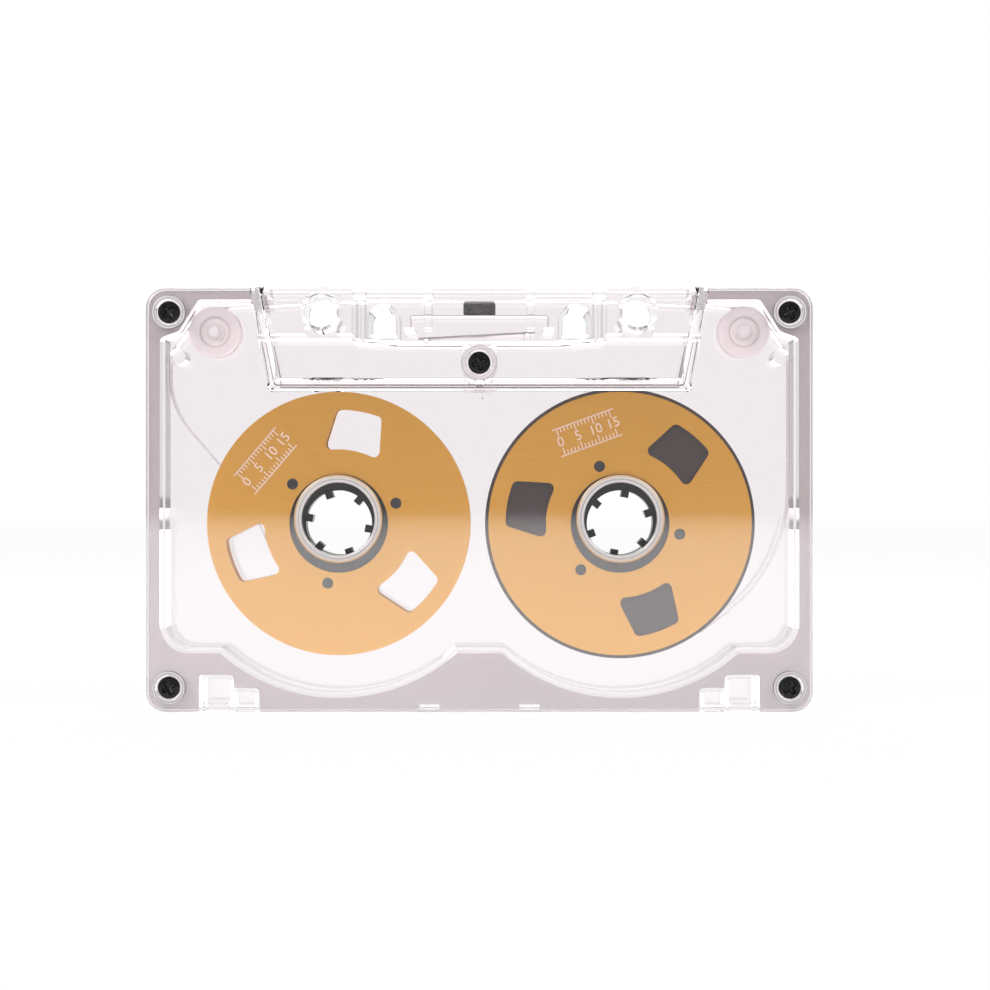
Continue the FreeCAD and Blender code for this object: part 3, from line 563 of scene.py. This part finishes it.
def pressed_felt(name, pale_from, pale_to):
    """Pressed felt: matted fibres of three greys, paler from one height to another towards the top."""
    material, place = start_material(name)
    mat = add_node(material, "ShaderNodeTexNoise",
                   values={"Scale": 1 / felt_tuft, "Detail": 5.0, "Roughness": 0.75, "Distortion": 1.5},
                   links={"Vector": place})
    ramp = add_node(material, "ShaderNodeValToRGB", links={"Fac": mat.outputs["Fac"]})
    ramp.color_ramp.elements[0].position = 0.35
    ramp.color_ramp.elements[0].color = linear(felt_dark)
    ramp.color_ramp.elements[1].position = 0.7
    ramp.color_ramp.elements[1].color = linear(felt_fibre)
    middle = ramp.color_ramp.elements.new(0.5)
    middle.color = linear(felt_grey)
    height = add_node(material, "ShaderNodeSeparateXYZ", links={"Vector": place})
    top_share = add_node(material, "ShaderNodeMapRange",
                      values={"From Min": pale_from, "From Max": pale_to, "To Max": 0.75},
                      links={"Value": height.outputs["Z"]})
    paled = add_node(material, "ShaderNodeMix", settings={"data_type": "RGBA"},
                    values={7: linear(felt_pale_top)},
                    links={0: top_share.outputs["Result"], 6: ramp.outputs["Color"]})
    fuzz = add_node(material, "ShaderNodeBump", values={"Strength": 0.8, "Distance": felt_depth},
                    links={"Height": mat.outputs["Fac"]})
    body = add_node(material, "ShaderNodeBsdfPrincipled",
                    values={"Roughness": 0.95, "Sheen Weight": 0.35, "Sheen Roughness": 0.5},
                    links={"Base Color": paled.outputs[2], "Normal": fuzz.outputs["Normal"]})
    add_node(material, "ShaderNodeOutputMaterial", links={"Surface": body.outputs["BSDF"]})
    return material


def closed_grid(rows, columns):
    """Faces of a closed skin: a pole, rows of points round an axis, and a pole.

    Point 0 is the first pole, then the rows in order, then the last pole.
    """
    row, column = np.meshgrid(np.arange(rows - 1), np.arange(columns), indexing="ij")
    after = (column + 1) % columns
    near = 1 + row * columns
    sides = np.stack([near + column, near + after, near + columns + after, near + columns + column], -1)
    ring = np.arange(columns)
    following = (ring + 1) % columns
    last = 1 + (rows - 1) * columns
    first_cap = np.stack([0 * ring, following + 1, ring + 1], -1)
    last_cap = np.stack([0 * ring + last + columns, last + ring, last + following], -1)
    return sides.reshape(-1, 4).tolist() + first_cap.tolist() + last_cap.tolist()


bronze_strip = ground_steel("rolled_bronze", bronze)
finish_node("pad_spring", bronze_strip)
pad_low, pad_high = (np.array(corner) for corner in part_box("pressure_pad"))
felt = pressed_felt("pressed_felt", pad_high[2] - felt_pale_band, pad_high[2])
pad_rows = 60
pad_columns = 120
pad_squareness = 0.22
pad_fuzz = 0.000035


def rounded_block(low, high, rows, columns, squareness, fuzz):
    """Superellipsoid between two corners, with a little unevenness.

    With s(w) = sign(w) times |w| to the power squareness, a point is the centre plus the half size times
    (s(cos v) s(cos u), s(cos v) s(sin u), s(sin v)), moved in by a random share of fuzz.
    """
    v = np.linspace(-np.pi / 2, np.pi / 2, rows + 2)[1:-1, None]
    u = np.linspace(0, 2 * np.pi, columns, endpoint=False)[None, :]

    def boxed(w):
        return np.sign(w) * np.abs(w) ** squareness

    skin = np.stack([boxed(np.cos(v)) * boxed(np.cos(u)), boxed(np.cos(v)) * boxed(np.sin(u)),
                     boxed(np.sin(v)) + 0 * u], -1).reshape(-1, 3)
    skin = np.concatenate([[[0, 0, -1]], skin, [[0, 0, 1]]])
    half = (high - low) / 2
    inward = fuzz * np.random.default_rng(4).random((len(skin), 1))
    return (low + high) / 2 + skin * (half - inward)


pad_skin = rounded_block(pad_low, pad_high, pad_rows, pad_columns, pad_squareness, pad_fuzz)
pad = mesh_piece("felt_pad", pad_skin, closed_grid(pad_rows, pad_columns), felt, "pad")
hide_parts("pressure_pad")

# Shield plate. A strip of soft magnetic alloy cut from rolled sheet, dull grey, that leans on two pins.
shield_grey = "#B4B0AF"
finish_node("shield_plate", ground_steel("rolled_shield_alloy", shield_grey))

# Screws. Five steel screws with black oxide on them, with rolled threads and a cross recess.
oxide_black = "#111112"
oxide_worn = "#333334"
oxide_rub = 0.0006
oxide_depth = 0.00004


def black_oxide(name):
    """Blackened steel: dark and satin, rubbed a little brighter in patches."""
    material, place = start_material(name)
    rub = add_node(material, "ShaderNodeTexNoise", values={"Scale": 1 / oxide_rub, "Detail": 4.0},
                   links={"Vector": place})
    colour = add_node(material, "ShaderNodeMix", settings={"data_type": "RGBA"},
                      values={6: linear(oxide_black), 7: linear(oxide_worn)},
                      links={0: rub.outputs["Fac"]})
    grain = add_node(material, "ShaderNodeBump", values={"Strength": 0.5, "Distance": oxide_depth},
                     links={"Height": rub.outputs["Fac"]})
    body = add_node(material, "ShaderNodeBsdfPrincipled", values={"Metallic": 1.0, "Roughness": 0.34},
                    links={"Base Color": colour.outputs[2], "Normal": grain.outputs["Normal"]})
    add_node(material, "ShaderNodeOutputMaterial", links={"Surface": body.outputs["BSDF"]})
    return material


blackened_steel = black_oxide("black_oxide_steel")
screw_head_radius = 0.00168
screw_head_height = 0.0011
screw_edge_round = 0.00025
screw_shank_radius = 0.001
screw_core = 0.00075
screw_pitch = 0.0008
screw_tip = 0.001
cross_half_width = 0.0003
cross_half_length = 0.00115
cross_depth = 0.0009
corner_x = 0.0468
corner_low_z = 0.0036
corner_high_z = 0.0602
centre_z = 0.0525
screw_columns = 72
head_rows = 34
edge_rows = 6
rows_per_turn = 12
point_rows = 10
point_share = 0.05
head_dome = 0.00006
head_eye = 0.00003
step_gap = 0.00002
thread_start = 0.0001
thread_full = 0.0005
ridge_crest = 0.12
ridge_root = 0.42
cross_edge = 0.00005
cross_end = 0.0002
cross_floor = 0.0005


def smooth_step(low, high, value):
    """0 below low, 1 above high, and 3t^2 - 2t^3 of the share t between them."""
    t = np.clip((value - low) / (high - low), 0, 1)
    return t * t * (3 - 2 * t)


def turned_over(faces):
    """The same faces with their corners in the other order, so they point the other way."""
    return [face[::-1] for face in faces]


def screw_skin(x, z, front_y, tip_y, turn):
    """Skin of one screw, as rows from the middle of its head to its tip, and the number of rows.

    The head's face is a shallow dome with a cross pressed in, deepest in its middle. Its edge is a
    quarter round. On the shank the radius is the core's plus a rounded V of the share of a turn that
    the angle and the height give, so the ridge climbs one pitch for each turn.
    """
    face = np.linspace(head_eye, screw_head_radius - screw_edge_round, head_rows)
    bend = np.linspace(0, np.pi / 2, edge_rows)[1:]
    shank_start = front_y + screw_head_height
    turns = (tip_y - screw_tip - shank_start) / screw_pitch
    shank = np.linspace(shank_start + step_gap, tip_y - screw_tip, int(turns * rows_per_turn))
    point = np.linspace(1, point_share, point_rows)[1:]
    radius = np.concatenate([face, face[-1] + screw_edge_round * np.sin(bend), [screw_head_radius],
                             0 * shank + screw_shank_radius, point * screw_shank_radius])
    along = np.concatenate([0 * face + front_y + head_dome * (face / face[-1]) ** 2,
                            front_y + head_dome + screw_edge_round * (1 - np.cos(bend)),
                            [shank_start - step_gap], shank, tip_y - screw_tip * point])
    angle = np.linspace(0, 2 * np.pi, screw_columns, endpoint=False)[None, :]
    radius = radius[:, None] + 0 * angle
    along = along[:, None] + 0 * angle
    threaded = smooth_step(shank_start + thread_start, shank_start + thread_full, along)
    phase = (along / screw_pitch + angle / (2 * np.pi)) % 1
    ridge = 1 - smooth_step(ridge_crest, ridge_root, np.abs(phase - 0.5))
    groove = (screw_shank_radius - screw_core) * (1 - ridge) * threaded
    radius = radius - groove * radius / screw_shank_radius
    across = np.abs(radius * np.cos(angle - turn))
    up = np.abs(radius * np.sin(angle - turn))
    nearer, farther = np.minimum(across, up), np.maximum(across, up)
    arm = 1 - smooth_step(cross_half_width - cross_edge, cross_half_width + cross_edge, nearer)
    arm = arm * (1 - smooth_step(cross_half_length - cross_end, cross_half_length, farther))
    arm = arm * (along < shank_start - cross_floor)
    depth = cross_depth * (1 - 0.5 * farther / cross_half_length)
    along = along + arm * depth
    skin = np.stack([x + radius * np.cos(angle), along, z + radius * np.sin(angle)], -1)
    middle = [[x, front_y + cross_depth, z]]
    tip = [[x, tip_y, z]]
    return np.concatenate([middle, skin.reshape(-1, 3), tip]), len(radius)


corner_low, corner_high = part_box("corner_screws")
centre_low, centre_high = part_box("centre_screw")
screw_places = [
    ("screw_top_left", -corner_x, corner_high_z, corner_low.y, corner_high.y, 0.7, "corner_screws"),
    ("screw_top_right", corner_x, corner_high_z, corner_low.y, corner_high.y, 0.45, "corner_screws"),
    ("screw_bottom_left", -corner_x, corner_low_z, corner_low.y, corner_high.y, 0.55, "corner_screws"),
    ("screw_bottom_right", corner_x, corner_low_z, corner_low.y, corner_high.y, 0.65, "corner_screws"),
    ("screw_centre", 0.0, centre_z, centre_low.y, centre_high.y, 0.35, "centre_screw"),
]
for screw_name, x, z, front_y, tip_y, turn, node in screw_places:
    skin, rows = screw_skin(x, z, front_y, tip_y, turn)
    faces = turned_over(closed_grid(rows, screw_columns))
    piece = mesh_piece(screw_name, skin, faces, blackened_steel, "shell")
    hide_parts(node)

# Counterbore rims. Round each screw the clear moulding is stepped, and its edges are painted as fine rings
# of painted
# reflection and painted shade: a white one by the head, a grey one, a white one, and a dark edge outside.
# The centre one is softer.
counterbore_rise = 0.00004
bead_height_share = 1.4
# Painted reflection bands from the head outwards, ending in an edge of painted shade.
corner_painted_reflection_bands = ["#F6F3F3", "#EDE9E9", "#B5ACAD", "#C9C2C2", "#F7F5F5", "#EDEAEA", "#8A8486"]
counterbore_edge = 0.00194
corner_rim_outer = 0.00252
# Softer painted reflection bands round the centre screw.
centre_painted_reflection_bands = ["#E6E2E2", "#F0EDED", "#F3F1F1", "#EDE8E9", "#D5CACB"]
centre_rim_outer = 0.0027
block_face_front = cad_low.y

for screw_name, x, z, front_y, tip_y, turn, node in screw_places[:4]:
    beaded_rim(screw_name + "_rim", rim_painted_reflection_plastic, x, z, face_front, -1, counterbore_edge, corner_rim_outer,
               counterbore_rise, corner_painted_reflection_bands)
centre_rim_y = block_face_front + counterbore_rise * bead_height_share
beaded_rim("screw_centre_rim", rim_painted_reflection_plastic, 0.0, centre_z, centre_rim_y, -1, counterbore_edge,
           centre_rim_outer, counterbore_rise, centre_painted_reflection_bands)

# Painted shade lines. At the foot of the raised block and along the wall under the head room, thin smoky
# lines a little darker than the clear plastic are painted shade, standing in for the dark that the slanted
# walls bend into view.
foot_shade_tone = "#8C8280"
wall_shade_tone = "#8B8888"
foot_shade_corners = [(-0.03205, -0.0055, 0.0555), (-0.03072, -0.0054, 0.0493), (-0.0305, -0.0051, 0.0492),
             (0.0305, -0.0051, 0.0492), (0.03072, -0.0054, 0.0493), (0.03205, -0.0055, 0.0555)]
wall_shade_runs = [
    ("painted_shade_wall_left", [(-0.0167, -0.001, 0.05574), (-0.0148, -0.001, 0.0555),
                             (-0.0129, -0.001, 0.0552), (-0.0026, -0.001, 0.05518)]),
    ("painted_shade_wall_right", [(0.0026, -0.001, 0.05518), (0.0129, -0.001, 0.0552),
                              (0.0148, -0.001, 0.0555), (0.0167, -0.001, 0.05574)]),
]
foot_shade_width = 0.00032
side_shade_width = 0.00024
wall_shade_width = 0.00014
shade_line_depth = 0.0001
shade_line_streak = 0.004
shade_line_steps = 240
shade_line_columns = 12


def shade_line_material(name, tone):
    """Painted shade in clear plastic: mostly see-through, with a soft painted grey."""
    material, place = start_material(name)
    streak = add_node(material, "ShaderNodeTexNoise", values={"Scale": 1 / shade_line_streak, "Detail": 2.0},
                      links={"Vector": place})
    thin = add_node(material, "ShaderNodeMapRange", values={"To Max": 0.25},
                    links={"Value": streak.outputs["Fac"]})
    grey_shade = add_node(material, "ShaderNodeBsdfPrincipled",
                     values={"Base Color": linear(tone), "Roughness": 0.5})
    clear = add_node(material, "ShaderNodeBsdfTransparent")
    both = add_node(material, "ShaderNodeMixShader", links={0: thin.outputs["Result"],
                                                            1: grey_shade.outputs["BSDF"],
                                                            2: clear.outputs["BSDF"]})
    add_node(material, "ShaderNodeOutputMaterial", links={"Surface": both.outputs["Shader"]})
    return material


def fine_line(name, corners, widths, way, material):
    """A thin closed strand along straight runs between the corners, mirrored in Y where way is -1.

    At each of the even steps along the run, a ring of points stands off the path by half the width times
    cos u across it in the face's plane, and half the depth times sin u through the plastic. Widths are
    interpolated from corner to corner, and the ends close in a point.
    """
    corners = np.array(corners) * (1, way, 1)
    run = np.concatenate([[0], np.cumsum(np.linalg.norm(np.diff(corners, axis=0), axis=1))])
    step = np.linspace(0, run[-1], shade_line_steps)
    path = np.stack([np.interp(step, run, corners[:, axis]) for axis in range(3)], -1)
    width = np.interp(step, run, widths)[:, None]
    along = np.gradient(path, axis=0)
    across = np.stack([-along[:, 2], 0 * step, along[:, 0]], -1)
    across = across / np.linalg.norm(across, axis=1)[:, None]
    u = np.linspace(0, 2 * np.pi, shade_line_columns, endpoint=False)[None, :, None]
    ring = path[:, None] + across[:, None] * np.cos(u) * width[:, None] / 2
    ring = ring + np.array([0, shade_line_depth / 2, 0]) * np.sin(u)
    points = np.concatenate([path[:1], ring.reshape(-1, 3), path[-1:]])
    faces = turned_over(closed_grid(shade_line_steps, shade_line_columns))
    piece = mesh_piece(name, points, faces, material, "shell")


# Painted shade lines: grey, partly see-through strands along the block's foot and the head room wall.
foot_shade_paint = shade_line_material("painted_shade_foot_look", foot_shade_tone)
wall_shade_paint = shade_line_material("painted_shade_wall_look", wall_shade_tone)
foot_widths = [side_shade_width / 2, side_shade_width, foot_shade_width, foot_shade_width, side_shade_width,
               side_shade_width / 2]
fine_line("painted_shade_foot_front", foot_shade_corners, foot_widths, 1, foot_shade_paint)
fine_line("painted_shade_foot_rear", foot_shade_corners, foot_widths, -1, foot_shade_paint)
for name, corners in wall_shade_runs:
    fine_line(name, corners, [wall_shade_width] * len(corners), 1, wall_shade_paint)

# Gate marks. The melt came in at the two upper corners of the block, where the cut-off gates leave milky,
# crazed patches on the slanted walls.
gate_white = "#F1EEEE"
gate_grey = "#C9C4C4"
gate_low_z = 0.0604
gate_high_z = 0.0634
gate_thick = 0.00006
gate_edge = 0.04
gate_squareness = 0.3
crack_spacing = 0.0006
crack_width_share = 0.15
crack_depth = 0.00005
gate_rows = 24
gate_columns = 48
block_foot_z = 0.0484
block_foot_half = 0.032
block_lean = 0.0025 / 0.0154
block_run = 0.0015
block_rise = 0.00165


def crazed_milk(name):
    """Milky plastic with fine cracks: two tones and dents, by the distance to the nearest noise cell."""
    material, place = start_material(name)
    cells = add_node(material, "ShaderNodeTexVoronoi", settings={"feature": "DISTANCE_TO_EDGE"},
                     values={"Scale": 1 / crack_spacing}, links={"Vector": place})
    crack = add_node(material, "ShaderNodeMapRange", values={"From Max": crack_width_share},
                     links={"Value": cells.outputs["Distance"]})
    colour = add_node(material, "ShaderNodeMix", settings={"data_type": "RGBA"},
                      values={6: linear(gate_grey), 7: linear(gate_white)},
                      links={0: crack.outputs["Result"]})
    dent = add_node(material, "ShaderNodeBump", values={"Strength": 0.4, "Distance": crack_depth},
                    links={"Height": crack.outputs["Result"]})
    body = add_node(material, "ShaderNodeBsdfPrincipled",
                    values={"Roughness": 0.3, "Transmission Weight": 0.3, "IOR": polystyrene_ior},
                    links={"Base Color": colour.outputs[2], "Normal": dent.outputs["Normal"]})
    add_node(material, "ShaderNodeOutputMaterial", links={"Surface": body.outputs["BSDF"]})
    return material


def gate_mark(name, side, way, material):
    """A thin rounded patch on a slanted wall of the block.

    From a flat rounded block of unit width and height, the share a across the wall and the height z give
    x = side times (foot half width + lean times the height above the foot - a times the run), and
    y = way times (the face + a times the rise), moved out by the patch's own thickness.
    """
    low = np.array([gate_edge, -gate_thick, gate_low_z])
    high = np.array([1 - gate_edge, gate_thick, gate_high_z])
    flat = rounded_block(low, high, gate_rows, gate_columns, gate_squareness, 0.0)
    share, thick, z = flat[:, 0], flat[:, 1], flat[:, 2]
    x = side * (block_foot_half + block_lean * (z - block_foot_z) - share * block_run)
    y = way * (face_rear + share * block_rise - gate_thick + thick)
    faces = closed_grid(gate_rows, gate_columns)
    if side * way > 0:
        faces = turned_over(faces)
    piece = mesh_piece(name, np.stack([x, y, z], -1), faces, material, "shell")


crazed = crazed_milk("crazed_milky_plastic")
for face_name, way in (("front", -1), ("rear", 1)):
    for side_name, side in (("left", -1), ("right", 1)):
        gate_mark("gate_mark_" + side_name + "_" + face_name, side, way, crazed)

# Specks. A few dark grains of burnt plastic are shut in the clear moulding.
speck_brown = "#3A2A28"
speck_places = [
    ("speck_long", (-0.02343, -0.0045, 0.057), (0.00016, 0.0001, 0.00032), 0.5),
    ("speck_small", (0.0005, -0.0041, 0.0472), (0.0001, 0.00006, 0.0001), 0.0),
]
speck_mottle = 0.0001
speck_fuzz = 0.00001
speck_rows = 16
speck_columns = 24


def burnt_grain(name):
    """Burnt plastic: dull brown black, mottled."""
    material, place = start_material(name)
    mottle = add_node(material, "ShaderNodeTexNoise", values={"Scale": 1 / speck_mottle, "Detail": 2.0},
                      links={"Vector": place})
    colour = add_node(material, "ShaderNodeMix", settings={"data_type": "RGBA"},
                      values={6: linear(speck_brown), 7: linear(oxide_worn)},
                      links={0: mottle.outputs["Fac"]})
    body = add_node(material, "ShaderNodeBsdfPrincipled", values={"Roughness": 0.6},
                    links={"Base Color": colour.outputs[2]})
    add_node(material, "ShaderNodeOutputMaterial", links={"Surface": body.outputs["BSDF"]})
    return material


burnt = burnt_grain("burnt_grain")
for name, middle, half, tilt in speck_places:
    grain = rounded_block(-np.array(half), np.array(half), speck_rows, speck_columns, 1.0, speck_fuzz)
    sine, cosine = np.sin(tilt), np.cos(tilt)
    turned = np.stack([grain[:, 0] * cosine - grain[:, 2] * sine, grain[:, 1],
                       grain[:, 0] * sine + grain[:, 2] * cosine], -1)
    piece = mesh_piece(name, turned + middle, closed_grid(speck_rows, speck_columns), burnt, "shell")

# Studio. A pale floor that goes on to the horizon under a white surround. What the eye sees past the
# cassette is white; through its clear plastic the near floor is darker, a painted shadow of the cassette on
# the floor behind it. What shines back off a surface is the room: the floor in front below the camera's
# level, which glows up to
# 2.1 as a painted reflection of a lit floor, and a dimmer wall above it, as in the photograph.
room_bright = 0.86
room_dim = 0.35
room_ambient = 0.25
# Painted reflection: the strength at which the near floor glows, seen only in reflections.
floor_reflection_glow = 2.1
floor_near = 0.8
floor_far = 5.0
floor_half = 30.0
floor_white = 0.96
# Painted shadow: the near floor seen through the clear plastic, darker than the floor seen past it.
floor_painted_shadow = 0.7
floor_pale = "#F4F2F2"

world = bpy.data.worlds.new("white_surround")
bpy.context.scene.world = world
world.use_nodes = True
world.node_tree.nodes.clear()
ray = add_node(world, "ShaderNodeLightPath")
way = add_node(world, "ShaderNodeTexCoord")
parts = add_node(world, "ShaderNodeSeparateXYZ", links={0: way.outputs["Generated"]})
wall = add_node(world, "ShaderNodeMapRange", settings={"interpolation_type": "SMOOTHSTEP"},
                values={"From Min": -0.97, "From Max": -0.7, "To Min": room_dim, "To Max": room_bright},
                links={"Value": parts.outputs["Y"]})
mirror = add_node(world, "ShaderNodeMath", settings={"operation": "GREATER_THAN"}, values={1: 0.5},
                  links={0: ray.outputs["Glossy Depth"]})
matt = add_node(world, "ShaderNodeMath", settings={"operation": "LESS_THAN"}, values={1: 0.5},
                links={0: ray.outputs["Diffuse Depth"]})
shine = add_node(world, "ShaderNodeMath", settings={"operation": "MULTIPLY"},
                 links={0: mirror.outputs[0], 1: matt.outputs[0]})
seen = add_node(world, "ShaderNodeMath", settings={"operation": "MAXIMUM"},
                links={0: ray.outputs["Is Camera Ray"], 1: ray.outputs["Is Transmission Ray"]})
straight = add_node(world, "ShaderNodeMath", settings={"operation": "MULTIPLY"},
                    links={0: matt.outputs[0], 1: seen.outputs[0]})
ambient = add_node(world, "ShaderNodeBackground", values={"Color": (1, 1, 1, 1), "Strength": room_ambient})
white = add_node(world, "ShaderNodeBackground", values={"Color": (1, 1, 1, 1), "Strength": 1.0})
room = add_node(world, "ShaderNodeBackground", values={"Color": (1, 1, 1, 1)},
                links={"Strength": wall.outputs["Result"]})
shown = add_node(world, "ShaderNodeMixShader", links={0: straight.outputs[0], 1: ambient.outputs[0],
                                                      2: white.outputs[0]})
mirrored = add_node(world, "ShaderNodeMixShader", links={0: shine.outputs[0], 1: shown.outputs[0],
                                                         2: room.outputs[0]})
add_node(world, "ShaderNodeOutputWorld", links={"Surface": mirrored.outputs[0]})

floor_material, floor_place = start_material("pale_floor")
ray = add_node(floor_material, "ShaderNodeLightPath")
mirror = add_node(floor_material, "ShaderNodeMath", settings={"operation": "GREATER_THAN"},
                  values={1: 0.5}, links={0: ray.outputs["Glossy Depth"]})
scattered = add_node(floor_material, "ShaderNodeMath", settings={"operation": "GREATER_THAN"},
                     values={1: 0.5}, links={0: ray.outputs["Diffuse Depth"]})
distance = add_node(floor_material, "ShaderNodeVectorMath", settings={"operation": "LENGTH"},
                    links={0: floor_place})
fading = add_node(floor_material, "ShaderNodeMapRange", settings={"interpolation_type": "SMOOTHSTEP"},
                  values={"From Min": floor_near, "From Max": floor_far, "To Min": floor_reflection_glow,
                          "To Max": room_dim},
                  links={"Value": distance.outputs["Value"]})
# Painted reflection: the floor glows for reflected rays, brightest near the cassette.
reflected_glow = add_node(floor_material, "ShaderNodeEmission", links={"Strength": fading.outputs["Result"]})
# Painted shadow: through the clear plastic the near floor is darker.
through = add_node(floor_material, "ShaderNodeMapRange",
                   values={"To Min": floor_white, "To Max": floor_painted_shadow},
                   links={"Value": ray.outputs["Is Transmission Ray"]})
paling = add_node(floor_material, "ShaderNodeMapRange", settings={"interpolation_type": "SMOOTHSTEP"},
                  values={"From Min": floor_near, "From Max": floor_far, "To Max": 1.0},
                  links={"Value": distance.outputs["Value"], "To Min": through.outputs["Result"]})
pale = add_node(floor_material, "ShaderNodeEmission", links={"Strength": paling.outputs["Result"]})
matt = add_node(floor_material, "ShaderNodeBsdfDiffuse", values={"Color": linear(floor_pale)})
tenth = add_node(floor_material, "ShaderNodeMixShader", values={0: floor_white},
                 links={1: matt.outputs[0]})
paper = add_node(floor_material, "ShaderNodeAddShader", links={0: pale.outputs[0], 1: tenth.outputs[0]})
shiny = add_node(floor_material, "ShaderNodeMixShader", links={0: mirror.outputs[0], 1: paper.outputs[0],
                                                               2: reflected_glow.outputs[0]})
top = add_node(floor_material, "ShaderNodeMixShader", links={0: scattered.outputs[0],
                                                             1: shiny.outputs[0], 2: matt.outputs[0]})
add_node(floor_material, "ShaderNodeOutputMaterial", links={"Surface": top.outputs[0]})
floor_mesh = bpy.data.meshes.new("floor")
floor_mesh.from_pydata([(-floor_half, -floor_half, 0), (floor_half, -floor_half, 0),
                        (floor_half, floor_half, 0), (-floor_half, floor_half, 0)], [], [(0, 1, 2, 3)])
floor_mesh.materials.append(floor_material)
floor = bpy.data.objects.new("floor", floor_mesh)
bpy.context.scene.collection.objects.link(floor)

# Lamps. Two soft boxes in front, left and right above the cassette, and one above and behind it.
lamp_places = [
    ("left_softbox", (-0.55, -0.6, 0.55), 0.5, 4.0),
    ("right_softbox", (0.6, -0.5, 0.6), 0.5, 3.5),
    ("rear_softbox", (0.0, 0.6, 0.7), 0.6, 5.0),
]


def soft_lamp(name, place, width, power):
    """A square area lamp of that width and power, turned to face the cassette."""
    data = bpy.data.lights.new(name, "AREA")
    data.shape = "SQUARE"
    data.size = width
    data.energy = power
    lamp = bpy.data.objects.new(name, data)
    bpy.context.scene.collection.objects.link(lamp)
    across, back, up = np.array(place) - (0, 0, 0.03)
    lamp.location = place
    lamp.rotation_euler = (np.arctan2(np.hypot(across, back), up), 0, np.arctan2(across, -back))


for lamp_name, lamp_place, lamp_width, lamp_power in lamp_places:
    soft_lamp(lamp_name, lamp_place, lamp_width, lamp_power)

# Camera. Level and square to the front face, with its axis through the photograph's middle.
camera_place = (0.00236, -0.4, 0.03265)
camera_lens = 95.6
camera_data = bpy.data.cameras.new("camera")
camera_data.lens = camera_lens
camera_data.sensor_width = 36.0
camera_data.clip_start = 0.01
camera = bpy.data.objects.new("camera", camera_data)
camera.location = camera_place
camera.rotation_euler = (np.pi / 2, 0, 0)
bpy.context.scene.collection.objects.link(camera)
bpy.context.scene.camera = camera
bpy.context.scene.view_settings.view_transform = "Standard"
